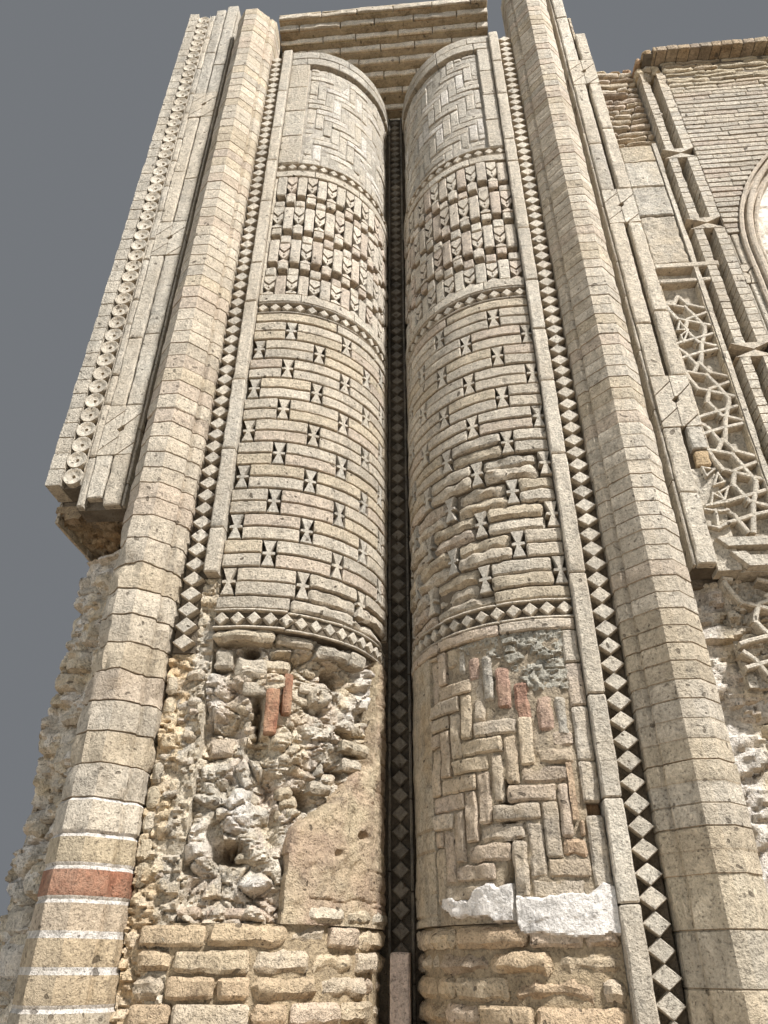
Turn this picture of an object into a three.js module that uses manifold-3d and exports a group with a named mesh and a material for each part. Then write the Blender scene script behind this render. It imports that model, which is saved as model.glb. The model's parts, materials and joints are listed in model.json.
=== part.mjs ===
import * as THREE from 'three';
import { mergeVertices } from 'three/addons/utils/BufferGeometryUtils.js';
import Module from 'manifold-3d';

const wasm = await Module();
wasm.setup();

// Portal pier with twin engaged quarter columns, millimetres, Z up.
// X runs along the facade, Y runs into the wall, the ground is Z = 0.
// Plan depths below are written from the facade plane, and the frame
// origin lies ORIGIN_DEPTH behind that plane, under the groove.

// Overall plan
const ORIGIN_DEPTH = 714;
const BACK_DEPTH = 950;
const CORE_FRONT = 478;
const LEFT_END = 1325;
const RIGHT_END = 2110;

// Twin quarter columns
const GROOVE_HALF = 42;
const SHAFT_RADIUS = 478;
const FACING = 120;
const ARC_STEPS = 22;
const SHAFT_EDGE = GROOVE_HALF + SHAFT_RADIUS;

// Upright mouldings beside each column, distances from the groove centre
const FILLET_IN = 587;
const FILLET_OUT = 642;
const FILLET_PROUD = 22;
const DIAMOND_OUT = 719;
const STEP_FLAT = 742;
const STEP_OUT = 756;
const STEP_PROUD = 34;
const ROLL_CORNER_IN = 817.5;
const ROLL_CORNER_OUT = 891;
const ROLL_OUT = 952.5;
const ROLL_PROUD = 110;
const ROLL_SHOULDER = 48.5;
const STRIP_IN = 995;
const STRIP_CHAMFER = 12;
const BAND_A_OUT = 1070;
const BAND_B_IN = 1091;
const STRIP_OUT = 1148;
const STRIP_GROOVE = 30;
const BORDER_OUT = 1182;
const DISC_OUT = 1264;

// Heights
const BASE_TOP = 1700;
const RING_HALF = 35;
const LOWER_RING = 2577;
const MIDDLE_RING = 4062;
const UPPER_RING = 5115;
const SHAFT_TOP = 6300;
const LEFT_EDGE_FOOT = 3150;
const LEFT_STRIP_FOOT = 3050;
const LEFT_STRIP_TOP = 6985;
const LEFT_EDGE_TOP = 6930;
const LEFT_ROLL_TOP = 6690;
const LEFT_FILLET_FOOT = 2740;
const LEFT_DIAMOND_FOOT = 2470;
const RIGHT_STRIP_FOOT = 2715;
const RIGHT_STRIP_TOP = 6985;
const RIGHT_ROLL_TOP = 6880;
const FIN_TOP = 6700;

// Lost and broken faces
const LOST_DEPTH = 70;
const LOST_EDGE_DEPTH = 25;
const REMNANT_TOP = 2050;
const REMNANT_STEPS = 14;
const RUBBLE_FACE = 130;
const RUBBLE_HOLLOW = 45;
const RUBBLE_SLOPE = 38;
const RUBBLE_ROWS = 7;
const RUBBLE_BOND = 110;
const RUBBLE_JOINTS = [1306, 1590, 1850];

// Right wing
const WING_FOOT = 2700;
const WING_TOP = 5885;
const WING_FACING = 150;
const BLOCKS_FOOT = 4180;
const BLOCKS_TOP = 5070;
const PANEL_OUT = 1306;
const LATTICE_DEPTH = 65;
const BROKEN_OUT = 1363;
const BAR_OUT = 1496;
const WALL_TOP = 5840;
const COPING_PROUD = 60;
const COPING_IN = 1400;
const ARCH_CENTRE_X = 2580;
const ARCH_CENTRE_Z = 4200;
const ARCH_OUTER = 1040;
const ARCH_INNER = 950;
const ARCH_STEPS = 12;

// Corbelled head
const CORBEL_RISE = 57;
const CORBEL_FRONTS = [478, 411, 333, 260, 202, 149, 99, 43, 0];
const CORBEL_RIGHT = 620;

const group = new THREE.Group();
group.name = 'portal_pier';

const stone = 0xd8cdb8;
const brick = 0xcfc3aa;
const warmBrick = 0xc4ad84;
const rubble = 0xb5a68a;
const shade = 0xa3957c;

function addMesh(name, geometry, colour, roughness = 0.92) {
  geometry.deleteAttribute('uv');
  const material = new THREE.MeshStandardMaterial({ color: colour, roughness, metalness: 0 });
  const mesh = new THREE.Mesh(geometry, material);
  mesh.name = name;
  group.add(mesh);
  return mesh;
}

function closedShape(points) {
  const shape = new THREE.Shape();
  points.forEach(([x, y], index) => {
    if (index === 0) {
      shape.moveTo(x, y);
    } else {
      shape.lineTo(x, y);
    }
  });
  shape.closePath();
  return shape;
}

// Upright prism from a plan outline; the depth is moved to the frame origin
function prism(plan, z0, z1) {
  const moved = plan.map(([x, y]) => [x, y - ORIGIN_DEPTH]);
  const geometry = new THREE.ExtrudeGeometry(closedShape(moved), { depth: z1 - z0, bevelEnabled: false });
  geometry.translate(0, 0, z0);
  return geometry;
}

function upright(name, plan, z0, z1, colour) {
  return addMesh(name, prism(plan, z0, z1), colour);
}

// One closed solid from several that touch
function joined(geometries) {
  const solids = geometries.map((geometry) => {
    const bare = geometry.clone();
    bare.deleteAttribute('normal');
    bare.deleteAttribute('uv');
    const merged = mergeVertices(bare, 1e-3);
    return new wasm.Manifold(new wasm.Mesh({
      numProp: 3,
      vertProperties: new Float32Array(merged.getAttribute('position').array),
      triVerts: new Uint32Array(merged.getIndex().array),
    }));
  });
  const whole = solids.reduce((sum, solid) => sum.add(solid));
  const mesh = whole.getMesh();
  const geometry = new THREE.BufferGeometry();
  geometry.setAttribute('position', new THREE.BufferAttribute(mesh.vertProperties, 3));
  geometry.setIndex(new THREE.BufferAttribute(mesh.triVerts, 1));
  const flat = geometry.toNonIndexed();
  flat.computeVertexNormals();
  return flat;
}

// Upright prism whose head is a slanted break
function brokenUpright(name, plan, z0, z1, slopeX, slopeY, colour) {
  const mesh = upright(name, plan, z0, z1, colour);
  const position = mesh.geometry.getAttribute('position');
  const middleX = plan.reduce((sum, point) => sum + point[0], 0) / plan.length;
  const middleY = plan.reduce((sum, point) => sum + point[1], 0) / plan.length - ORIGIN_DEPTH;
  for (let i = 0; i < position.count; i += 1) {
    if (position.getZ(i) > z1 - 1) {
      const lift = slopeX * (position.getX(i) - middleX) + slopeY * (position.getY(i) - middleY);
      position.setZ(i, z1 + lift);
    }
  }
  return mesh;
}

// Prism from an elevation outline, between two depths behind the facade plane
function slab(outline, y0, y1, holes = []) {
  const shape = closedShape(outline);
  holes.forEach((hole) => shape.holes.push(new THREE.Path(hole.map(([x, z]) => new THREE.Vector2(x, z)))));
  const geometry = new THREE.ExtrudeGeometry(shape, { depth: y1 - y0, bevelEnabled: false });
  const turn = new THREE.Matrix4();
  turn.set(1, 0, 0, 0, 0, 0, -1, y1 - ORIGIN_DEPTH, 0, 1, 0, 0, 0, 0, 0, 1);
  geometry.applyMatrix4(turn);
  return geometry;
}

function elevation(name, outline, y0, y1, colour) {
  return addMesh(name, slab(outline, y0, y1), colour);
}

function rectangle(x0, x1, y0, y1) {
  return [[x0, y0], [x1, y0], [x1, y1], [x0, y1]];
}

function mirrored(plan, side) {
  return plan.map(([x, y]) => [x * side, y]);
}

// Quarter arc of the column, from the groove (t = 0) round to the facade
function shaftArc(radius, t0 = 0, t1 = 1) {
  const points = [];
  for (let i = 0; i <= ARC_STEPS; i += 1) {
    const t = i / ARC_STEPS;
    if (t > t0 - 1e-9 && t < t1 + 1e-9) {
      const angle = t * Math.PI / 2;
      points.push([SHAFT_EDGE - radius * Math.cos(angle), SHAFT_RADIUS - radius * Math.sin(angle)]);
    }
  }
  return points;
}

function facingPlan(outerRadius, innerRadius) {
  const outer = shaftArc(outerRadius);
  const inner = shaftArc(innerRadius).reverse();
  const outerDepth = SHAFT_RADIUS - outerRadius;
  const innerDepth = SHAFT_RADIUS - innerRadius;
  return [...outer, [FILLET_IN, outerDepth], [FILLET_IN, innerDepth], ...inner];
}

// Column bands, the same set on both sides of the groove
const massRadius = SHAFT_RADIUS - FACING;
const massPlan = [
  ...shaftArc(massRadius),
  [ROLL_OUT, FACING],
  [ROLL_OUT, CORE_FRONT],
];
const bandPlan = facingPlan(SHAFT_RADIUS, massRadius);
const rubblePlan = facingPlan(SHAFT_RADIUS - LOST_DEPTH, massRadius);
const remnantArc = REMNANT_STEPS / ARC_STEPS;
const remnantPlan = [
  ...shaftArc(SHAFT_RADIUS, 0, remnantArc),
  ...shaftArc(SHAFT_RADIUS - LOST_DEPTH, 0, remnantArc).reverse(),
];
const filletPlan = [
  [FILLET_IN, FACING],
  [FILLET_IN, -FILLET_PROUD],
  [FILLET_OUT, -FILLET_PROUD],
  [FILLET_OUT, FACING],
];
const diamondPlan = rectangle(FILLET_OUT, DIAMOND_OUT, 0, FACING);
const rollPlan = [
  [DIAMOND_OUT, FACING],
  [DIAMOND_OUT, -6],
  [STEP_FLAT, -STEP_PROUD],
  [STEP_OUT, -STEP_PROUD],
  [STEP_OUT, -ROLL_SHOULDER],
  [ROLL_CORNER_IN, -ROLL_PROUD],
  [ROLL_CORNER_OUT, -ROLL_PROUD],
  [ROLL_OUT, -ROLL_SHOULDER],
  [ROLL_OUT, FACING],
];

[[-1, 'left'], [1, 'right']].forEach(([side, word]) => {
  const ringBottom = [LOWER_RING, MIDDLE_RING, UPPER_RING].map((z) => z - RING_HALF);
  const ringTop = [LOWER_RING, MIDDLE_RING, UPPER_RING].map((z) => z + RING_HALF);
  const plan = mirrored(bandPlan, side);
  upright(`${word}_shaft_base`, plan, 0, BASE_TOP, warmBrick);
  if (side < 0) {
    upright('left_shaft_lost_face', mirrored(rubblePlan, side), BASE_TOP, ringBottom[0], rubble);
    upright('left_shaft_remnant', mirrored(remnantPlan, side), BASE_TOP, REMNANT_TOP, brick);
  } else {
    upright('right_shaft_lower_panel', plan, BASE_TOP, ringBottom[0], brick);
  }
  upright(`${word}_shaft_lower_ring`, plan, ringBottom[0], ringTop[0], stone);
  upright(`${word}_shaft_paired_panel`, plan, ringTop[0], ringBottom[1], brick);
  upright(`${word}_shaft_middle_ring`, plan, ringBottom[1], ringTop[1], stone);
  upright(`${word}_shaft_checker_panel`, plan, ringTop[1], ringBottom[2], brick);
  upright(`${word}_shaft_upper_ring`, plan, ringBottom[2], ringTop[2], stone);
  upright(`${word}_shaft_woven_panel`, plan, ringTop[2], SHAFT_TOP, brick);
  const filletFoot = side < 0 ? LEFT_FILLET_FOOT : 0;
  const diamondFoot = side < 0 ? LEFT_DIAMOND_FOOT : 0;
  upright(`${word}_fillet`, mirrored(filletPlan, side), filletFoot, SHAFT_TOP, stone);
  upright(`${word}_diamond_strip`, mirrored(diamondPlan, side), diamondFoot, SHAFT_TOP, stone);
  const rollTop = side < 0 ? LEFT_ROLL_TOP : RIGHT_ROLL_TOP;
  brokenUpright(`${word}_octagonal_roll`, mirrored(rollPlan, side), 0, rollTop, -0.25 * side, 0.2, stone);
});

// The left fillet and diamonds are lost near the ground
const lostEdging = [
  [-DIAMOND_OUT, 0],
  [-FILLET_IN, 0],
  [-FILLET_IN, LEFT_FILLET_FOOT],
  [-FILLET_OUT, LEFT_FILLET_FOOT],
  [-FILLET_OUT, LEFT_DIAMOND_FOOT],
  [-DIAMOND_OUT, LEFT_DIAMOND_FOOT],
];
elevation('left_lost_edging', lostEdging, LOST_EDGE_DEPTH, FACING, rubble);

// Back of the groove
upright('groove_diamond_strip', rectangle(-GROOVE_HALF, GROOVE_HALF, CORE_FRONT - 30, CORE_FRONT), 0, SHAFT_TOP, shade);
upright('groove_foot_post', rectangle(-30, 30, CORE_FRONT - 110, CORE_FRONT - 30), 0, 1640, stone);

// Interlace strips: two raised bands with a narrow groove between them
const interlacePlan = [
  [STRIP_IN, FACING],
  [STRIP_IN, STRIP_CHAMFER],
  [STRIP_IN + STRIP_CHAMFER, 0],
  [BAND_A_OUT, 0],
  [BAND_A_OUT, STRIP_GROOVE],
  [BAND_B_IN, STRIP_GROOVE],
  [BAND_B_IN, 0],
  [STRIP_OUT, 0],
  [STRIP_OUT, FACING],
];
const borderedPlan = [...interlacePlan.slice(0, -2), [BORDER_OUT, 0], [BORDER_OUT, FACING]];
brokenUpright(
  'left_interlace_strip', mirrored(borderedPlan, -1), LEFT_STRIP_FOOT, LEFT_STRIP_TOP, 0.3, 0.1, stone,
);
brokenUpright(
  'right_interlace_strip', interlacePlan, RIGHT_STRIP_FOOT, RIGHT_STRIP_TOP, -0.3, 0.1, stone,
);

// Left wing
brokenUpright(
  'left_disc_chain_strip', rectangle(-DISC_OUT, -BORDER_OUT, 0, FACING),
  LEFT_EDGE_FOOT, LEFT_EDGE_TOP, -0.6, 0.1, stone,
);
brokenUpright(
  'left_edge_courses', rectangle(-LEFT_END, -DISC_OUT, 0, FACING),
  LEFT_EDGE_FOOT, LEFT_EDGE_TOP, -0.3, 0.1, brick,
);
const leftRubblePlan = [
  [-LEFT_END, 450],
  [-1120, 330],
  [-1000, 180],
  [-ROLL_OUT, 150],
  [-ROLL_OUT, CORE_FRONT],
  [-LEFT_END, CORE_FRONT],
];
upright('left_rubble_core', leftRubblePlan, 0, LEFT_STRIP_FOOT, rubble);

// Right wing, exposed masses: courses of rough stones whose faces lie at different
// depths and slope back into the joints; the stone behind the lattice is the most proud
function stoneFace(row, stone) {
  if (row === RUBBLE_ROWS - 1 && stone === 0) {
    return RUBBLE_FACE;
  }
  return RUBBLE_FACE + RUBBLE_HOLLOW * (0.5 + 0.5 * Math.sin(2.4 * row + 1.9 * stone));
}

function stoneCourse(row) {
  const bond = row % 2 === 0 ? 0 : -RUBBLE_BOND;
  const joints = [ROLL_OUT, ...RUBBLE_JOINTS.map((x) => x + bond), RIGHT_END];
  const plan = [];
  for (let stone = 0; stone + 1 < joints.length; stone += 1) {
    const face = stoneFace(row, stone);
    plan.push([joints[stone], face + RUBBLE_SLOPE]);
    plan.push([joints[stone] + RUBBLE_SLOPE, face]);
    plan.push([joints[stone + 1] - RUBBLE_SLOPE, face]);
    plan.push([joints[stone + 1], face + RUBBLE_SLOPE]);
  }
  plan.push([RIGHT_END, CORE_FRONT], [ROLL_OUT, CORE_FRONT]);
  return prism(plan, WING_FOOT * row / RUBBLE_ROWS, WING_FOOT * (row + 1) / RUBBLE_ROWS);
}

const stoneCourses = [];
for (let row = 0; row < RUBBLE_ROWS; row += 1) {
  stoneCourses.push(stoneCourse(row));
}
addMesh('right_rubble_core', joined(stoneCourses), rubble);

// Right wing, facing pieces
upright('right_plain_blocks', rectangle(STRIP_OUT, PANEL_OUT, 4, WING_FACING), BLOCKS_FOOT, BLOCKS_TOP, stone);
upright('right_broken_courses', rectangle(STRIP_OUT, BROKEN_OUT, 40, WING_FACING), BLOCKS_TOP, WING_TOP, rubble);
const frameOutline = [
  [STRIP_OUT, WING_FOOT],
  [PANEL_OUT, WING_FOOT],
  [PANEL_OUT, BLOCKS_FOOT],
  [STRIP_OUT, BLOCKS_FOOT],
];
const opening = [[1156, 2880], [1300, 2880], [1300, 4150], [1156, 4150]];
addMesh('lattice_frame', slab(frameOutline, 0, LATTICE_DEPTH, [opening]), stone);
upright(
  'upper_lattice_panel', rectangle(STRIP_OUT, PANEL_OUT, LATTICE_DEPTH, WING_FACING),
  WING_FOOT, BLOCKS_FOOT, shade,
);
upright('lower_lattice_panel', rectangle(1100, PANEL_OUT, 90, 130), 2330, WING_FOOT, shade);
// Three upright bars; the thin one beside the panel ends where the broken courses start
const outerBars = [
  [1403, 0],
  [1403, 90],
  [1449, 90],
  [1449, 0],
  [BAR_OUT, 0],
  [BAR_OUT, WING_FACING],
];
const lowerBarPlan = [
  [PANEL_OUT, WING_FACING],
  [PANEL_OUT, 0],
  [1328, 0],
  [1328, 60],
  [BROKEN_OUT, 60],
  [BROKEN_OUT, 0],
  ...outerBars,
];
const upperBarPlan = [[BROKEN_OUT, WING_FACING], [BROKEN_OUT, 0], ...outerBars];
addMesh('triple_bar_moulding', joined([
  prism(lowerBarPlan, WING_FOOT, BLOCKS_TOP),
  prism(upperBarPlan, BLOCKS_TOP, WALL_TOP),
]), stone);

function archPoints(radius) {
  const endX = RIGHT_END - ARCH_CENTRE_X;
  const endAngle = Math.acos(-endX / radius);
  const points = [];
  for (let i = 0; i <= ARCH_STEPS; i += 1) {
    const angle = endAngle * i / ARCH_STEPS;
    points.push([ARCH_CENTRE_X - radius * Math.cos(angle), ARCH_CENTRE_Z + radius * Math.sin(angle)]);
  }
  points[ARCH_STEPS][0] = RIGHT_END;
  return points;
}

const outerArch = archPoints(ARCH_OUTER);
const innerArch = archPoints(ARCH_INNER);
const outerJamb = ARCH_CENTRE_X - ARCH_OUTER;
const innerJamb = ARCH_CENTRE_X - ARCH_INNER;
const wallOutline = [
  [BAR_OUT, WING_FOOT],
  [outerJamb, WING_FOOT],
  ...outerArch,
  [RIGHT_END, WALL_TOP],
  [BAR_OUT, WALL_TOP],
];
const ringOutline = [
  [outerJamb, WING_FOOT],
  [innerJamb, WING_FOOT],
  ...innerArch,
  ...[...outerArch].reverse(),
];
const nicheOutline = [[innerJamb, WING_FOOT], [RIGHT_END, WING_FOOT], ...[...innerArch].reverse()];
elevation('right_brick_wall', wallOutline, 0, WING_FACING, brick);
elevation('arch_ring', ringOutline, -24, WING_FACING, stone);
elevation('niche_infill', nicheOutline, 40, WING_FACING, brick);
upright('right_coping', rectangle(COPING_IN, RIGHT_END, -COPING_PROUD, WING_FACING), WALL_TOP, WING_TOP, warmBrick);

// One mass of brick behind all the facing: the wall, the column cores, the wings
// and the stumps that stand behind the broken heads of the mouldings
const coreParts = [
  prism(rectangle(-LEFT_END, RIGHT_END, CORE_FRONT, BACK_DEPTH), 0, SHAFT_TOP),
  prism(mirrored(massPlan, -1), 0, SHAFT_TOP),
  prism(massPlan, 0, SHAFT_TOP),
  prism(rectangle(-LEFT_END, -ROLL_OUT, FACING, CORE_FRONT), LEFT_STRIP_FOOT, SHAFT_TOP),
  prism(rectangle(ROLL_OUT, STRIP_OUT, FACING, CORE_FRONT), WING_FOOT, SHAFT_TOP),
  prism(rectangle(STRIP_OUT, RIGHT_END, WING_FACING, CORE_FRONT), WING_FOOT, WING_TOP),
  prism(rectangle(-LEFT_END, -DIAMOND_OUT, FACING, CORE_FRONT), SHAFT_TOP, FIN_TOP),
  prism(rectangle(ROLL_OUT, STRIP_OUT, FACING, CORE_FRONT), SHAFT_TOP, FIN_TOP),
];
addMesh('masonry_core', joined(coreParts), rubble);

// Corbelled courses that close the recess above the columns
const corbelOutline = [[BACK_DEPTH - ORIGIN_DEPTH, SHAFT_TOP]];
CORBEL_FRONTS.forEach((depth, i) => {
  corbelOutline.push([depth - ORIGIN_DEPTH, SHAFT_TOP + CORBEL_RISE * i]);
  corbelOutline.push([depth - ORIGIN_DEPTH, SHAFT_TOP + CORBEL_RISE * (i + 1)]);
});
const corbelTop = SHAFT_TOP + CORBEL_RISE * CORBEL_FRONTS.length;
corbelOutline.push([BACK_DEPTH - ORIGIN_DEPTH, corbelTop]);
const corbelGeometry = new THREE.ExtrudeGeometry(
  closedShape(corbelOutline), { depth: DIAMOND_OUT + CORBEL_RIGHT, bevelEnabled: false },
);
const corbelTurn = new THREE.Matrix4();
corbelTurn.set(0, 0, 1, -DIAMOND_OUT, 1, 0, 0, 0, 0, 1, 0, 0, 0, 0, 0, 1);
corbelGeometry.applyMatrix4(corbelTurn);
addMesh('corbel_stack', corbelGeometry, warmBrick);

export default group;
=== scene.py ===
# %% [markdown]
# # A brick and stone portal pier, dressed for its portrait
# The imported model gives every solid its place, in metres: X to the right, Z up, and the
# face of the wall at Y = -0.714. This lesson lays bricks, carved inserts, plaster and rubble
# over those solids. Almost everything is a flat pattern that is bent onto a face: a place on
# the face has a distance along it, a height, and a depth in front of it.

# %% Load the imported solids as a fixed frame
import bpy
import json
import math
import numpy as np
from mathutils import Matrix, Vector

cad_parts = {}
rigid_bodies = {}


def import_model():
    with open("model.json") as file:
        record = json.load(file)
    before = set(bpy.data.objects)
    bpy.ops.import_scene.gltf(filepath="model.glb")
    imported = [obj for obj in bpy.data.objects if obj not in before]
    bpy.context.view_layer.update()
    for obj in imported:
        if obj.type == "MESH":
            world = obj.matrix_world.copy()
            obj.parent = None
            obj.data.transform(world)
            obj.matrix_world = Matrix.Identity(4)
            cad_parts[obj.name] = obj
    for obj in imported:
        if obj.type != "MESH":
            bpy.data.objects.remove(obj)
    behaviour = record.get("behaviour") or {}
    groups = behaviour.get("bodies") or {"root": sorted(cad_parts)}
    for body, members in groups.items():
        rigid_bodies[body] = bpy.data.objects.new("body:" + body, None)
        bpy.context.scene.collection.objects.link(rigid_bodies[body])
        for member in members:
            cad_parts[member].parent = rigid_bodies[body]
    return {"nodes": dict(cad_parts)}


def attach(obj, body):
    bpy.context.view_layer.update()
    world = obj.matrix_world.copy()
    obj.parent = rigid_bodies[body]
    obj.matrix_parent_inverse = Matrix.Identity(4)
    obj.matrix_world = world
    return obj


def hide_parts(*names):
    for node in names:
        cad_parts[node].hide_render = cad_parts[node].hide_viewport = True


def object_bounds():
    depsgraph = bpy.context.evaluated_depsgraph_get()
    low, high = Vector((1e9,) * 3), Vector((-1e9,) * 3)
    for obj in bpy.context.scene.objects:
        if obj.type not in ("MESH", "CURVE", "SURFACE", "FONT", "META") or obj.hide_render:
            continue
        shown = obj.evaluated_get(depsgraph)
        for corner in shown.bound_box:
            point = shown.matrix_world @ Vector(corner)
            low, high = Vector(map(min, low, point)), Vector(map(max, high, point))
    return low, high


for leftover in list(bpy.data.objects):
    bpy.data.objects.remove(leftover)
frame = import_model()
cad_low, cad_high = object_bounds()
print("solids", len(frame["nodes"]), "from", tuple(cad_low), "to", tuple(cad_high))

# %% [markdown]
# ## Camera
# The picture was taken from head height, close to the pier and looking well up. The tilt, the
# small roll and the turn follow from the point far above where all upright edges meet, and
# the lens from the focal length, which is 720 pixels in a picture 1024 pixels high.

# %% Camera at the viewing angle of the photograph
FOCAL_PIXELS, PICTURE_HIGH = 720.0, 1024
EYE = (0.1683, -2.8608, 1.6)
TILT, ROLL_OVER, TURN_LEFT = 122.34203, -0.2235, 4.88332


def in_scene(name, data):
    """A new object with this data, linked to the scene."""
    thing = bpy.data.objects.new(name, data)
    bpy.context.scene.collection.objects.link(thing)
    return thing


camera = in_scene("portrait_camera", bpy.data.cameras.new("portrait_camera"))
camera.data.sensor_width = 36.0
camera.data.lens = camera.data.sensor_width * FOCAL_PIXELS / PICTURE_HIGH
camera.data.clip_end = 200.0
camera.location = EYE
camera.rotation_euler = [math.radians(angle) for angle in (TILT, ROLL_OVER, TURN_LEFT)]
bpy.context.scene.camera = camera
print("camera lens", camera.data.lens, "mm")

# %% [markdown]
# ## Light
# One large soft lamp stands high on the right, because carving only reads when light rakes
# across it. Weaker ones and a pale surround fill the other sides.


# %% Lamps and surround
def lamp(name, place, aim, size, watts, tone):
    """A square soft lamp at one point that faces another: its own -Z points at the aim."""
    holder = in_scene(name, bpy.data.lights.new(name, "AREA"))
    holder.data.size = size
    holder.data.energy = watts
    holder.data.color = tone
    holder.location = place
    holder.rotation_euler = (Vector(aim) - Vector(place)).to_track_quat("-Z", "Y").to_euler()


lamp("key", (11.3, -11.6, 21.0), (0.0, -0.7, 3.4), 1.8, 12600.0, (1.0, 0.97, 0.94))
lamp("fill", (-5.0, -7.0, 3.5), (0.0, -0.5, 2.8), 6.0, 150.0, (0.9, 0.95, 1.0))
lamp("rear", (-4.0, 8.0, 7.0), (0.2, 0.2, 3.0), 5.0, 380.0, (1.0, 0.98, 0.95))
surround = bpy.data.worlds.new("pale_surround")
bpy.context.scene.world = surround
surround.use_nodes = True
surround.node_tree.nodes["Background"].inputs["Color"].default_value = (0.8, 0.85, 0.92, 1.0)
surround.node_tree.nodes["Background"].inputs["Strength"].default_value = 0.22
bpy.context.scene.view_settings.view_transform = "Standard"
print("lamps", ", ".join(light.name for light in bpy.data.lights))

# %% [markdown]
# ## Finishes
# Every brick keeps its own colour in an attribute named tint, one value for each face. One
# shader group turns a tint into an old surface: broad stains, streaks where rain runs down,
# coarse grain, small dark pits like those left by straw and lime, larger chips, and a few
# cracks. Each material uses the group with values of its own.


# %% Helpers for shader nodes
def linked(tree, kind, inputs=None, **settings):
    """Adds one node, sets its settings, and fills its inputs with values or other sockets."""
    node = tree.nodes.new(kind)
    for key, value in settings.items():
        setattr(node, key, value)
    for key, value in (inputs or {}).items():
        if isinstance(value, bpy.types.NodeSocket):
            tree.links.new(value, node.inputs[key])
        else:
            node.inputs[key].default_value = value
    return node


aged = bpy.data.node_groups.new("aged_masonry", "ShaderNodeTree")


def in_group(kind, inputs, output=0, **settings):
    """One output of a new node in the shared group."""
    return linked(aged, kind, inputs, **settings).outputs[output]


def ramp(value, low, high, start=0.0, end=1.0):
    """The value spread from the range low..high to start..end, held at both ends."""
    return in_group("ShaderNodeMapRange", {0: value, 1: low, 2: high, 3: start, 4: end}, clamp=True)


def times(first, second):
    """The product of two values."""
    return in_group("ShaderNodeMath", {0: first, 1: second}, operation="MULTIPLY")


def plus(first, second, operation="ADD"):
    """The sum of two values, or with another operation their difference or the larger one."""
    return in_group("ShaderNodeMath", {0: first, 1: second}, operation=operation)


def bent_by(first, second, third=None, operation="MULTIPLY"):
    """Vectors multiplied, or with MULTIPLY_ADD the product added to the third."""
    inputs = {0: first, 1: second} if third is None else {0: first, 1: second, 2: third}
    return in_group("ShaderNodeVectorMath", inputs, operation=operation)


def cloud(scale, detail, rough, vector=None, output=0):
    """A noise of the group at one scale; output 0 is its value and 1 its colour."""
    inputs = {"Vector": vector or where, "Scale": scale, "Detail": detail, "Roughness": rough}
    return in_group("ShaderNodeTexNoise", inputs, output)


def cells(scale, vector, **settings):
    """The outputs of a Voronoi texture, which has one point in each cell."""
    inputs = {"Vector": vector, "Scale": scale, "Randomness": 1.0}
    return linked(aged, "ShaderNodeTexVoronoi", inputs, **settings).outputs


def spots(scale, vector, rarest, largest, edge):
    """Round marks, one in each Voronoi cell whose random number is above rarest; the number
    also sets how large the mark is, up to largest. 1 inside, falling to 0 over edge."""
    found = cells(scale, vector)
    size = ramp(found["Color"], rarest, 1.0, 0.0, largest)
    return ramp(plus(size, found["Distance"], "SUBTRACT"), 0.0, edge)


def mixed(share, first, second):
    """Two colours mixed; share 0 is the first and 1 the second."""
    return in_group("ShaderNodeMix", {0: share, 6: first, 7: second}, 2, data_type="RGBA")


# %% The shared group for old masonry
SOCKETS = (("INPUT", "Tint", "Color"), ("INPUT", "Soil", "Color"), ("INPUT", "Staining", "Float"),
           ("INPUT", "Pitting", "Float"), ("INPUT", "Coarseness", "Float"),
           ("OUTPUT", "Colour", "Color"), ("OUTPUT", "Roughness", "Float"), ("OUTPUT", "Height", "Float"))
DARK_MARK = (0.085, 0.066, 0.045, 1.0)
for way, socket, kind in SOCKETS:
    aged.interface.new_socket(socket, in_out=way, socket_type="NodeSocket" + kind)
into = aged.nodes.new("NodeGroupInput").outputs
where = aged.nodes.new("ShaderNodeTexCoord").outputs["Object"]
broad = cloud(3.1, 3.0, 0.62)
patch = cloud(17.0, 4.0, 0.7)
grain = cloud(times(into["Coarseness"], 62.0), 4.0, 0.78)
sand = cloud(150.0, 2.0, 0.7)
bent = bent_by(cloud(23.0, 1.0, 0.6, output=1), (0.05, 0.05, 0.05), where, "MULTIPLY_ADD")
streak = ramp(cloud(1.0, 3.0, 0.6, bent_by(where, (13.0, 13.0, 0.9))), 0.5, 0.72, 1.0, 0.8)
pinholes = ramp(sand, 0.31, 0.37, 1.0, 0.0)
pit = times(plus(spots(29.0, bent, 0.5, 0.33, 0.05), times(pinholes, 0.55), "MAXIMUM"), into["Pitting"])
chip = times(spots(16.0, bent, 0.62, 0.34, 0.05), into["Pitting"])
edges = cells(7.5, bent, feature="DISTANCE_TO_EDGE")["Distance"]
crack = times(ramp(edges, 0.003, 0.012, 1.0, 0.0), ramp(broad, 0.6, 0.66, 0.0, 0.7))
stain = times(ramp(plus(times(broad, 0.6), times(patch, 0.4)), 0.44, 0.66), into["Staining"])
speckle = plus(ramp(grain, 0.36, 0.64, -0.26, 0.2), ramp(sand, 0.36, 0.64, -0.14, 0.12))
lit = times(plus(ramp(patch, 0.3, 0.7, 0.8, 1.14), speckle), streak)
toned = in_group("ShaderNodeVectorMath", {0: into["Tint"], 3: lit}, operation="SCALE")
marks = plus(times(pit, 0.85), plus(times(chip, 0.22), times(crack, 0.6), "MAXIMUM"), "MAXIMUM")
raised = plus(times(grain, 2.6), sand)
lowered = plus(times(pit, 1.3), times(chip, 0.7))
results = aged.nodes.new("NodeGroupOutput").inputs
aged.links.new(mixed(marks, mixed(stain, toned, into["Soil"]), DARK_MARK), results["Colour"])
aged.links.new(ramp(grain, 0.2, 0.8, 0.78, 0.97), results["Roughness"])
aged.links.new(plus(raised, lowered, "SUBTRACT"), results["Height"])
print("group aged_masonry has", len(aged.nodes), "nodes")

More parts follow.
